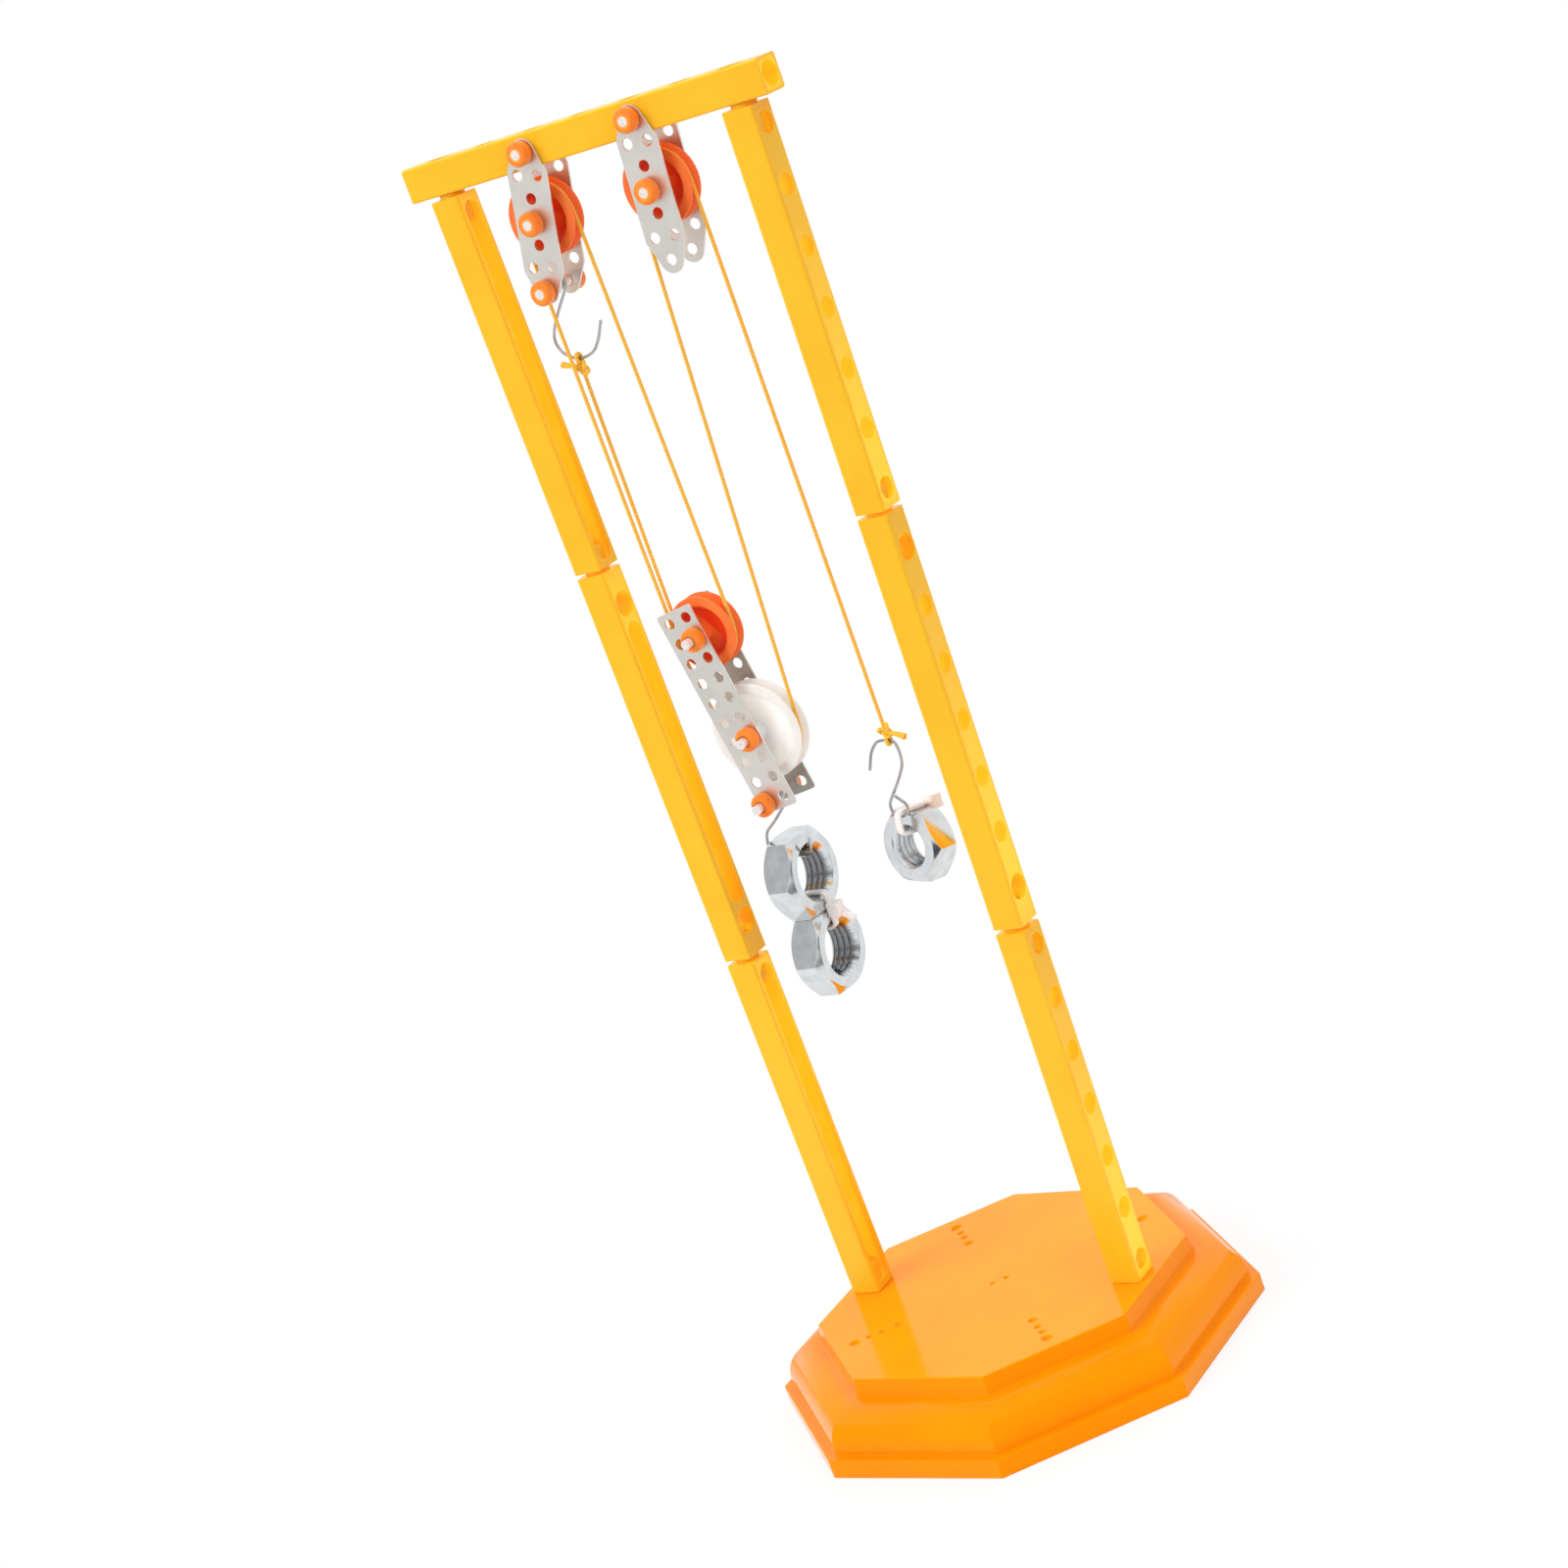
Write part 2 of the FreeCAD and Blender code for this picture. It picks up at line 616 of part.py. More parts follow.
def along_post(distance, side):
    """Point on a post's axis, as x and z expressions; side is -1 or 1."""
    x = f"{side} * ({cell('post_foot_x')} + ({distance}) * sin({POST_LEAN}))"
    z = f"({BASE_HEIGHT} + ({distance}) * cos({POST_LEAN}))"
    return x, z


def post_tilt(side):
    """A right post leans to +X. A left one is also turned over, so that its holes face -X."""
    return POST_LEAN if side > 0 else f"(180 deg - {POST_LEAN})"


def make_post(label, side):
    beams = [
        ("lower", make_end_beam, cell("foot_gap"), cell("end_beam_length")),
        ("middle", make_middle_beam, MIDDLE_START, cell("middle_beam_length")),
        ("upper", make_end_beam, UPPER_START, cell("end_beam_length")),
    ]
    for word, maker, start, length in beams:
        name = f"{label}_post_{word}_beam"
        x, z = along_post(f"{start} + {half(length)}", side)
        keep(place(maker(f"{name}_body"), x, "0", z, tilt=post_tilt(side)), name)
    make_post_pegs(label, side)


def make_post_pegs(label, side):
    """Pegs of one post: in the base, at both joints and in the crossbar."""
    length = f"(2 * {cell('socket_depth')})"
    floors = [
        minus(cell("socket_depth")),
        f"{MIDDLE_START} - {cell('lower_joint_gap')} - {cell('socket_depth')}",
        f"{UPPER_START} - {cell('upper_joint_gap')} - {cell('socket_depth')}",
        f"{POST_LENGTH} - {cell('socket_depth')}",
    ]
    pegs = []
    for number, floor in enumerate(floors):
        name = f"{label}_peg_{number}"
        body = new_body(name)
        radius = half(cell("peg_diameter"))
        bevel = cell("peg_end_chamfer")
        top = half(length)
        profile = new_sketch(body, f"{name}_profile", "XZ_Plane")
        add_outline(profile, [
            ("0", minus(top)),
            (f"({radius} - {bevel})", minus(top)),
            (radius, f"({minus(top)} + {bevel})"),
            (radius, f"({top} - {bevel})"),
            (f"({radius} - {bevel})", top),
            ("0", top),
        ])
        turn_profile(body, profile, "V_Axis")
        x, z = along_post(f"{floor} + {cell('peg_floor_gap')} + {half(length)}", side)
        pegs.append(place(body, x, "0", z, tilt=post_tilt(side)))
    keep(combine("Part::Compound", f"{label}_pegs", pegs), f"{label}_post_pegs")


def make_crossbar():
    """A middle beam laid along X, holes up, with cross holes for the two hanger pins."""
    body = make_middle_beam("crossbar_body", cell("open_socket_depth"))
    holes = new_sketch(body, "crossbar_pin_holes", "XZ_Plane", half(cell("beam_width")))
    for block in ("left_block_x", "right_block_x"):
        add_circle(holes, "0", minus(cell(block)), cell("pin_hole_diameter"))
    pocket(body, holes, cell("beam_width"))
    keep(place(body, "0", "0", CROSSBAR_Z, rotation=Rotation(Y_AXIS, -90)), "crossbar_beam")


# ---------------------------------------------------------------- strips, pins, collars
def tangent_point(side, end):
    """Where a straight edge from the shoulder meets the round end of a hanging strip.

    side is -1 or 1 in x, end is -1 or 1 in z, from the centre of the round end.
    """
    radius = cell("strip_end_radius")
    across = half(cell("strip_width"))
    down = cell("strip_shoulder")
    angle = f"(acos({radius} / hypot({across}; {down})) - atan2({down}; {across}))"
    return f"({side} * {radius} * cos({angle}))", f"({end} * {radius} * sin({angle}))"


def make_hanging_strip(name, front):
    """Strip hung by its top hole: rows of one and two holes, ends drawn to a round."""
    body = new_body(name)
    pitch = cell("strip_pitch")
    last = f"({STRIP_ROWS - 1} * {pitch})"
    across = half(cell("strip_width"))
    shoulder = cell("strip_shoulder")
    offset = STRIP_BACK if front else minus(STRIP_FACE)
    sketch = new_sketch(body, f"{name}_outline", "XZ_Plane", offset)
    right_top = tangent_point(1, 1)
    left_top = tangent_point(-1, 1)
    right_bottom = tangent_point(1, -1)
    left_bottom = tangent_point(-1, -1)
    add_outline(sketch, [
        (right_top[0], right_top[1], "0", "0"),
        left_top,
        (minus(across), minus(shoulder)),
        (minus(across), f"({shoulder} - {last})"),
        (left_bottom[0], f"({left_bottom[1]} - {last})", "0", minus(last)),
        (right_bottom[0], f"({right_bottom[1]} - {last})"),
        (across, f"({shoulder} - {last})"),
        (across, minus(shoulder)),
    ])
    columns = {0: [0], 1: [-1, 1], 2: [0], 3: [0], 4: [0], 5: [-1, 1], 6: [0]}
    for line in range(STRIP_ROWS):
        for column in columns[line]:
            x = f"{column} * {half(pitch)}"
            add_circle(sketch, x, f"-{line} * {pitch}", cell("strip_hole_diameter"))
    pad(body, sketch, cell("strip_thickness"), backwards=True)
    return body


def make_load_strip(name, front):
    """Long straight strip with two columns of holes, centred on its own origin."""
    body = new_body(name)
    offset = STRIP_BACK if front else minus(STRIP_FACE)
    sketch = new_sketch(body, f"{name}_outline", "XZ_Plane", offset)
    across = half(cell("strip_width"))
    up = half(cell("load_strip_length"))
    corner = cell("load_strip_corner")
    add_outline(sketch, rounded_rectangle(minus(across), across, minus(up), up, corner))
    for line in range(LOAD_STRIP_ROWS):
        for column in (0, 1):
            x, z = load_hole(line, column)
            add_circle(sketch, x, z, cell("strip_hole_diameter"))
    pad(body, sketch, cell("strip_thickness"), backwards=True)
    return body


def load_hole(line, column):
    """Hole of the load block in its own frame; line 0 is the top one."""
    pitch = cell("strip_pitch")
    middle_line = (LOAD_STRIP_ROWS - 1) / 2
    return f"(({column} - 0.5) * {pitch})", f"(({middle_line} - {line}) * {pitch})"


def make_collar(name, side, x, z, snap):
    """Collar on a pin along Y at x, z; side -1 is the front. A snap collar is open to -X."""
    bore = f"({cell('pin_diameter')} + 2 * {cell('collar_fit')})"
    centre = f"({side} * ({COLLAR_FACE} + {half(cell('collar_length'))}))"
    body = new_body(name)
    radius = half(cell("collar_diameter"))
    bevel = cell("collar_chamfer")
    top = half(cell("collar_length"))
    profile = new_sketch(body, f"{name}_profile", "XY_Plane")
    add_outline(profile, [
        (half(bore), minus(top)),
        (f"({radius} - {bevel})", minus(top)),
        (radius, f"({minus(top)} + {bevel})"),
        (radius, f"({top} - {bevel})"),
        (f"({radius} - {bevel})", top),
        (half(bore), top),
    ])
    turn_profile(body, profile, "V_Axis")
    if snap:
        opening = new_sketch(body, f"{name}_opening", "XZ_Plane", top)
        gap = half(cell("snap_opening"))
        add_outline(opening, rectangle(minus(cell("collar_diameter")), "0", minus(gap), gap))
        pocket(body, opening, cell("collar_length"))
    return place(body, x, centre, z)


def make_block(label, tilt, x, rows_with_pins):
    """Hanging block: two strips, its pins by row, and a collar at each pin end."""
    names = {HANGER_ROW: "hanger_pin", AXLE_ROW: "axle", BECKET_ROW: "becket_pin"}
    pin_length = f"(2 * {PIN_HALF})"
    for side, word in ((True, "front"), (False, "back")):
        strip = make_hanging_strip(f"{label}_{word}_strip", side)
        keep(place(strip, x, "0", CROSSBAR_Z, tilt=tilt), f"{label}_{word}_plate")
    collars = []
    for line in rows_with_pins:
        z = f"(-{line} * {cell('strip_pitch')})"
        bar = cylinder(f"{label}_pin_{line}_bar", cell("pin_diameter"), pin_length, "0", "0", z, "Y")
        pin = combine("Part::Compound", f"{label}_pin_{line}", [bar])
        keep(place(pin, x, "0", CROSSBAR_Z, tilt=tilt), f"{label}_{names[line]}")
        for side, word in ((-1, "front"), (1, "back")):
            collars.append(make_collar(f"{label}_collar_{line}_{word}", side, "0", z, snap=False))
    group = combine("Part::Compound", f"{label}_collar_group", collars)
    keep(place(group, x, "0", CROSSBAR_Z, tilt=tilt), f"{label}_collars")


LOAD_UPPER_AXLE = load_hole(1, 1)
LOAD_LOWER_AXLE = load_hole(6, 1)
LOAD_HOOK_HOLE = load_hole(9, 0)


def at_block(thing, label):
    """Place a piece that is modelled in the load block's own frame."""
    where = (cell("load_block_x"), "0", cell("load_block_z"))
    return keep(place(thing, *where, tilt=cell("load_block_tilt"), axis=Vector(0, -1, 0)), label)


def make_load_block():
    for side, word in ((True, "front"), (False, "back")):
        at_block(make_load_strip(f"load_{word}_strip", side), f"load_block_{word}_plate")
    collars = []
    pin_length = f"(2 * {SNAP_PIN_HALF})"
    pins = {"upper_axle": LOAD_UPPER_AXLE, "lower_axle": LOAD_LOWER_AXLE, "hook_pin": LOAD_HOOK_HOLE}
    for word, (x, z) in pins.items():
        bar = cylinder(f"load_{word}_bar", cell("pin_diameter"), pin_length, x, "0", z, "Y")
        at_block(combine("Part::Compound", f"load_{word}", [bar]), f"load_block_{word}")
        for side, end in ((-1, "front"), (1, "back")):
            collars.append(make_collar(f"load_{word}_collar_{end}", side, x, z, snap=True))
    at_block(combine("Part::Compound", "load_collar_group", collars), "load_block_collars")


# ---------------------------------------------------------------- wheels
def make_wheel(name, diameter, cord_radius):
    """Grooved wheel about the Y axis: hub, thin web, rim with a trapezoid groove."""
    body = new_body(name)
    rim = half(diameter)
    floor = f"({cord_radius} - {half(cell('cord_diameter'))} - {cell('groove_clearance')})"
    width = half(cell("wheel_width"))
    groove_top = f"({width} - {cell('flange_land')})"
    groove_floor = half(cell("groove_floor_width"))
    recess = f"({rim} - {cell('rim_depth')})"
    web = half(cell("web_thickness"))
    hub = half(cell("hub_diameter"))
    hub_half = f"({STRIP_FACE} - {cell('hub_clearance')})"
    bore = f"({PIN_RADIUS} + {cell('axle_fit')})"
    bevel = cell("rim_bevel")
    front = [
        (bore, minus(hub_half)),
        (hub, minus(hub_half)),
        (hub, minus(web)),
        (f"({recess} - {bevel})", minus(web)),
        (recess, f"({bevel} - {width})"),
        (f"({recess} + {bevel})", minus(width)),
        (rim, minus(width)),
        (rim, minus(groove_top)),
        (floor, minus(groove_floor)),
    ]
    back = [
        (floor, groove_floor),
        (rim, groove_top),
        (rim, width),
        (f"({recess} + {bevel})", width),
        (recess, f"({width} - {bevel})"),
        (f"({recess} - {bevel})", web),
        (hub, web),
        (hub, hub_half),
        (bore, hub_half),
    ]
    profile = new_sketch(body, f"{name}_profile", "XY_Plane")
    add_outline(profile, front + back)
    turn_profile(body, profile, "V_Axis")
    return body


def block_point(x, z, block_x, block_z, tilt):
    """World x and z expressions of a point given in a tilted block's frame."""
    world_x = f"({block_x} + {x} * cos({tilt}) + {z} * sin({tilt}))"
    world_z = f"({block_z} - {x} * sin({tilt}) + {z} * cos({tilt}))"
    return world_x, world_z


def hanging_axle(side):
    drop = f"(-{AXLE_ROW} * {cell('strip_pitch')})"
    tilt = cell(f"{side}_block_tilt")
    return block_point("0", drop, cell(f"{side}_block_x"), CROSSBAR_Z, tilt)


def load_point(hole):
    tilt = minus(cell("load_block_tilt"))
    return block_point(*hole, cell("load_block_x"), cell("load_block_z"), tilt)


LEFT_WHEEL = hanging_axle("left")
RIGHT_WHEEL = hanging_axle("right")
UPPER_WHEEL = load_point(LOAD_UPPER_AXLE)
LOWER_WHEEL = load_point(LOAD_LOWER_AXLE)
HOOK_PIN = load_point(LOAD_HOOK_HOLE)
BECKET_DROP = f"(-{BECKET_ROW} * {cell('strip_pitch')})"
LEFT_TILT = cell("left_block_tilt")
BECKET_PIN = block_point("0", BECKET_DROP, cell("left_block_x"), CROSSBAR_Z, LEFT_TILT)


def make_wheels():
    small = (cell("wheel_diameter"), cell("wheel_cord_radius"))
    big = (cell("big_wheel_diameter"), cell("big_wheel_cord_radius"))
    wheels = [
        ("left_block_wheel", small, LEFT_WHEEL),
        ("right_block_wheel", small, RIGHT_WHEEL),
        ("upper_load_wheel", small, UPPER_WHEEL),
        ("lower_load_wheel", big, LOWER_WHEEL),
    ]
    for label, (diameter, cord_radius), (x, z) in wheels:
        wheel = make_wheel(f"{label}_body", diameter, cord_radius)
        keep(place(wheel, x, "0", z), label)


# ---------------------------------------------------------------- nuts
# The chamfer's cutting triangle ends this many corner radii from the nut's axis.
CHAMFER_REACH = 1.2
# Thread crests, counted in pitches from the nut's middle, and half a crest's width in pitches.
THREAD_TURNS = (-1.5, -0.5, 0.5, 1.5)
CREST_HALF_WIDTH = 0.1


def make_nut(name, kind):
    """Hexagon nut about Z, centred, flats across X, both faces chamfered, threaded bore.

    Its kind is the start of the names of its sizes.
    """
    body = new_body(name)
    thickness = cell(f"{kind}_thickness")
    top = half(thickness)
    corner = f"({cell(f'{kind}_flats')} / sqrt(3))"
    blank = new_sketch(body, f"{name}_blank", "XY_Plane", minus(top))
    hexagon = []
    for number in range(6):
        angle = 30 + 60 * number
        hexagon.append((f"({corner} * cos({angle}))", f"({corner} * sin({angle}))"))
    add_outline(blank, hexagon)
    pad(body, blank, thickness)

    washer = half(cell(f"{kind}_washer_diameter"))
    chamfer = cell(f"{kind}_chamfer_height")
    beyond = f"({CHAMFER_REACH} * {corner})"
    rise = f"({chamfer} * ({beyond} - {washer}) / ({corner} - {washer}))"
    corners = new_sketch(body, f"{name}_corners", "XZ_Plane")
    add_outline(corners, [(washer, top), (beyond, f"({top} - {rise})"), (beyond, top)])
    bottom = minus(top)
    add_outline(corners, [(washer, bottom), (beyond, bottom), (beyond, f"({rise} - {top})")])
    solid = body.Shape.Volume
    turn_profile(body, corners, "V_Axis", "PartDesign::Groove")
    if body.Shape.Volume >= solid:
        raise ValueError(f"{name} corners are not cut")

    bore = new_sketch(body, f"{name}_bore", "XZ_Plane")
    add_outline(bore, thread_profile(kind))
    solid = body.Shape.Volume
    turn_profile(body, bore, "V_Axis", "PartDesign::Groove")
    if body.Shape.Volume >= solid:
        raise ValueError(f"{name} bore is not cut")
    return body


def thread_profile(kind):
    """Section of the cut that leaves ring-shaped thread crests and both countersinks."""
    top = half(cell(f"{kind}_thickness"))
    crest = half(cell(f"{kind}_thread_crest"))
    root = half(cell(f"{kind}_thread_root"))
    pitch = cell(f"{kind}_thread_pitch")
    countersink = cell(f"{kind}_countersink")
    mouth = f"({root} + {countersink})"
    mouth_foot = f"({top} - {countersink})"
    points = [("0", minus(top)), (mouth, minus(top)), (root, minus(mouth_foot))]
    for turn in THREAD_TURNS:
        points.append((crest, f"(({turn} - {CREST_HALF_WIDTH}) * {pitch})"))
        points.append((crest, f"(({turn} + {CREST_HALF_WIDTH}) * {pitch})"))
        if turn != THREAD_TURNS[-1]:
            points.append((root, f"(({turn} + 0.5) * {pitch})"))
    points += [(root, mouth_foot), (mouth, top), ("0", top)]
    return points


LOWER_NUT_Z = f"({cell('load_nut_z')} - {cell('load_nut_flats')} - {cell('nut_seat_gap')})"


def make_nuts():
    along_x = Rotation(Y_AXIS, 90)
    for label, z in (("upper_load_nut", cell("load_nut_z")), ("lower_load_nut", LOWER_NUT_Z)):
        nut = make_nut(f"{label}_body", "load_nut")
        keep(place(nut, cell("load_nut_x"), "0", z, rotation=along_x), label)
    turned = Rotation(Z_AXIS, value(cell("effort_nut_turn")))
    leaning = turned * Rotation(X_AXIS, 90 - value(cell("effort_nut_tilt")))
    rolled = leaning * Rotation(Z_AXIS, 90 + value(cell("effort_nut_roll")))
    nut = make_nut("effort_nut_body", "effort_nut")
    where = (cell("effort_nut_x"), "0", cell("effort_nut_z"))
    keep(place(nut, *where, rotation=rolled), "effort_nut")


# ---------------------------------------------------------------- cable ties
def make_tie(name, left, right, bottom, top, head, tail):
    """Closed band in the XZ plane with its head and tail; all limits are inner ones."""
    body = new_body(name)
    thickness = cell("tie_thickness")
    side = half(cell("tie_width"))
    band = new_sketch(body, f"{name}_band", "XZ_Plane", side)
    outer = rounded_rectangle(
        f"({left} - {thickness})",
        f"({right} + {thickness})",
        f"({bottom} - {thickness})",
        f"({top} + {thickness})",
        f"({cell('tie_corner')} + {thickness})",
    )
    add_outline(band, outer)
    add_outline(band, rounded_rectangle(left, right, bottom, top, cell("tie_corner")))
    pad(body, band, cell("tie_width"), backwards=True)

    block = new_sketch(body, f"{name}_head", "XZ_Plane", half(cell("tie_head_depth")))
    add_outline(block, rectangle(*head))
    pad(body, block, cell("tie_head_depth"), backwards=True)

    strap = new_sketch(body, f"{name}_tail", "XZ_Plane", side)
    add_outline(strap, tail)
    pad(body, strap, cell("tie_width"), backwards=True)
    return body


def tie_head(face, middle):
    """Limits of a tie's head: it stands on the band's outer side, centred at a height."""
    reach = half(cell("tie_head_size"))
    far = f"({face} + {cell('tie_head_size')})"
    return face, far, f"({middle} - {reach})", f"({middle} + {reach})"


def tie_tail(start, end, level, droop):
    """Strap from the band to beyond the head; level is its upper side where it starts."""
    thickness = cell("tie_thickness")
    return [
        (start, f"({level} - {thickness})"),
        (end, f"({level} - {thickness} - {droop})"),
        (end, f"({level} - {droop})"),
        (start, level),
    ]


def make_load_tie():
    """Band through both load nuts, around the two rims that touch."""
    gap = cell("tie_clearance")
    crest = half(cell("load_nut_thread_crest"))
    rim = f"({half(cell('load_nut_flats'))} - {crest} + {gap})"
    bottom = f"({minus(rim)} - {cell('nut_seat_gap')})"
    right = f"({half(cell('load_nut_thickness'))} + {gap})"
    head = tie_head(right, "0")
    start = f"({right} + {cell('tie_thickness')})"
    end = f"({head[1]} + {cell('load_tie_tail')})"
    tail = tie_tail(start, end, "0", cell("load_tie_droop"))
    body = make_tie("load_tie_body", minus(right), right, bottom, rim, head, tail)
    seat = f"({cell('load_nut_z')} - {half(cell('load_nut_flats'))})"
    keep(place(body, cell("load_nut_x"), "0", seat), "load_nut_tie")


def make_effort_tie():
    """Band through the effort nut's bore and over its rim, looped through the hook."""
    gap = cell("tie_clearance")
    back = f"({half(cell('effort_nut_thickness'))} + {gap})"
    front = minus(f"{back} + {cell('effort_tie_reach')}")
    crest = half(cell("effort_nut_thread_crest"))
    shift = cell("effort_tie_shift")
    turn = cell("effort_nut_turn")
    band_side = f"({shift} + {half(cell('tie_width'))})"
    bore_top = f"(sqrt({crest} ^ 2 - {band_side} ^ 2) - {gap})"
    flat = f"({half(cell('effort_nut_flats'))} / cos({cell('effort_nut_roll')}) + {gap})"
    head = tie_head(back, flat)
    start = f"({back} + {cell('tie_thickness')})"
    end = f"({head[1]} + {cell('effort_tie_tail')})"
    level = f"({flat} + {cell('tie_thickness')})"
    tail = tie_tail(start, end, level, cell("effort_tie_droop"))
    body = make_tie("effort_tie_body", front, back, bore_top, flat, head, tail)
    across = Rotation(Z_AXIS, 90 + value(turn))
    leaning = across * Rotation(Y_AXIS, value(cell("effort_nut_tilt")))
    x = f"({cell('effort_nut_x')} + {shift} * cos({turn}))"
    y = f"({shift} * sin({turn}))"
    keep(place(body, x, y, cell("effort_nut_z"), rotation=leaning), "effort_nut_tie")


# ---------------------------------------------------------------- wires and cord
# An arc takes this share of the shorter run beside its corner.
ARC_SHARE = 0.45
# A tube's volume may differ from section times length by this share.
VOLUME_TOLERANCE = 0.01
# Corners of a wire's closed end around a pin.
LOOP_STEPS = 8


def corner_arc(before, corner, after, name):
    """Tangent arc at a corner: its radius is the setback over tan(half the turn)."""
    inward = (corner - before).normalize()
    outward = (after - corner).normalize()
    turn = inward.getAngle(outward)
    shorter = min((corner - before).Length, (after - corner).Length)
    setback = ARC_SHARE * shorter
    radius = setback / math.tan(turn / 2)
    print(f"{name}: arc radius {radius:.1f} mm, turn {math.degrees(turn):.0f} degrees")
    start = corner - inward * setback
    end = corner + outward * setback
    middle_way = (outward - inward).normalize()
    centre = corner + middle_way * (radius / math.cos(turn / 2))
    middle = centre - middle_way * radius
    return start, middle, end


def rounded_run(points, name):
    """Edges through the points: straight runs joined by tangent arcs."""
    edges = []
    here = points[0]
    for before, corner, after in zip(points, points[1:], points[2:]):
        start, middle, end = corner_arc(before, corner, after, name)
        edges.append(Part.LineSegment(here, start).toShape())
        edges.append(Part.Arc(start, middle, end).toShape())
        here = end
    edges.append(Part.LineSegment(here, points[-1]).toShape())
    return edges


def sweep_tube(edges, diameter, name):
    """Round tube along the edges; its volume has to be section times length."""
    path = Part.Wire(edges)
    first = edges[0]
    start = first.valueAt(first.FirstParameter)
    direction = first.tangentAt(first.FirstParameter)
    section = Part.Wire([Part.makeCircle(diameter / 2, start, direction)])
    tube = path.makePipeShell([section], True, True)
    expected = math.pi * diameter ** 2 / 4 * path.Length
    print(f"{name}: {path.Length:.1f} mm long, volume {tube.Volume:.1f} of {expected:.1f} mm3")
    if abs(tube.Volume / expected - 1) > VOLUME_TOLERANCE:
        raise ValueError(f"{name} has the wrong volume")
    return tube


def keep_shape(label, shape):
    """A piece whose shape comes from Part's own functions."""
    thing = DOC.addObject("Part::Feature", label)
    thing.Shape = shape
    thing.Placement = Placement()
    return keep(thing, label)


def world(place_expressions, y=0.0):
    x, z = place_expressions
    return Vector(value(x), y, value(z))


def loop_around_pin(centre, start_angle, end_angle):
    """Points of a wire's closed end around a pin along Y; angles in the XZ plane.

    Corners of the run stand a little outside, because its arcs pass inside them.
    """
    step_angle = (end_angle - start_angle) / LOOP_STEPS
    reach = value(WIRE_LOOP_RADIUS) / math.cos(math.radians(step_angle) / 2)
    points = []
    for step in range(LOOP_STEPS + 1):
        angle = math.radians(start_angle + step_angle * step)
        points.append(centre + Vector(reach * math.cos(angle), 0, reach * math.sin(angle)))
    return points


def to_scale(offsets, reach):
    """Offsets of a hook's corners, enlarged alike until the farthest height is the reach."""
    scale = value(reach) / max(abs(offset[-1]) for offset in offsets)
    return [tuple(scale * part for part in offset) for offset in offsets]


# Anchor hook from its pin: x and z of its corners. The cord is tied between two of them.
ANCHOR_LOOP_ANGLES = (-110, -385)
ANCHOR_BEND = [
    (-3.6, -7.6),
    (-8.4, -13.2),
    (-10.8, -18.2),
    (-9.2, -22.9),
    (-5.6, -25.5),
    (-0.8, -26.5),
    (4.0, -25.3),
    (7.6, -21.6),
    (11.3, -15.5),
]
ANCHOR_TIE_POINTS = (4, 5)

# Load hook from its pin: x and z of its corners down to the nut.
LOAD_LOOP_ANGLES = (-150, -400)
LOAD_SHANK = [(1.2, -4.6), (-4.7, -9.8), (-10.0, -13.6)]
# Then around the upper nut's rim: the face it passes (-1, 0 for the middle, 1) and, beyond
# that face and above the wire's seat in the bore, x, y and z.
LOAD_FACES = [-1, -1, -1, 0, 1, 1, 1]
LOAD_BEND = [
    (-3.4, 0.0, 5.8),
    (-3.1, 0.0, 1.6),
    (-0.2, -0.2, -0.9),
    (0.0, -0.6, -0.3),
    (-0.2, -1.0, -0.9),
    (2.6, -1.6, 1.4),
    (4.0, -2.0, 6.0),
]

# Effort hook from the crest under its knot: x, y and z of its corners. The crest is one run.
EFFORT_MOUTH = [(-9.7, -2.9, -8.9), (-8.0, -0.9, -2.9), (-5.0, 0.0, 0.2)]
EFFORT_CREST = [(-2.0, 0.0, 0.3), (2.0, 0.0, -0.3)]
EFFORT_SHANK = [(3.5, -1.0, -4.0), (3.8, -2.3, -8.8), (0.9, -3.7, -13.8), (-2.4, -4.7, -18.0)]
EFFORT_EYE = [
    (-4.9, -5.2, -21.4),
    (-4.9, -5.3, -24.8),
    (-1.7, -5.3, -27.0),
    (1.3, -5.3, -25.4),
    (2.1, -5.4, -22.4),
    (-1.1, -6.2, -18.3),
]


def make_wire(label, points):
    """Hook of round wire bent through the points."""
    tube = sweep_tube(rounded_run(points, label), value(cell("wire_diameter")), label)
    keep_shape(label, tube)


def make_anchor_hook():
    """S-hook on the left block's lowest pin, mouth up: the cord's fixed end is tied to it."""
    pin = world(BECKET_PIN, value(cell("anchor_hook_y")))
    points = loop_around_pin(pin, *ANCHOR_LOOP_ANGLES)
    points += [pin + Vector(x, 0, z) for x, z in anchor_bend()]
    make_wire("anchor_hook", points)


def anchor_bend():
    return to_scale(ANCHOR_BEND, cell("anchor_hook_drop"))


def make_load_hook():
    """Hook from the load block's lowest pin through the upper nut's bore, tip up beyond it."""
    pin = world(HOOK_PIN)
    nut = Vector(value(cell("load_nut_x")), 0, value(cell("load_nut_z")))
    face = value(cell("load_nut_thickness")) / 2
    seat = value(cell("load_nut_thread_crest")) / 2 - value(cell("wire_diameter"))
    points = loop_around_pin(pin, *LOAD_LOOP_ANGLES)
    points += [pin + Vector(x, 0, z) for x, z in to_scale(LOAD_SHANK, cell("load_hook_shank"))]
    bend = to_scale(LOAD_BEND, cell("load_hook_rise"))
    for side, (x, y, z) in zip(LOAD_FACES, bend):
        points.append(nut + Vector(side * face + x, y, seat + z))
    make_wire("load_hook", points)


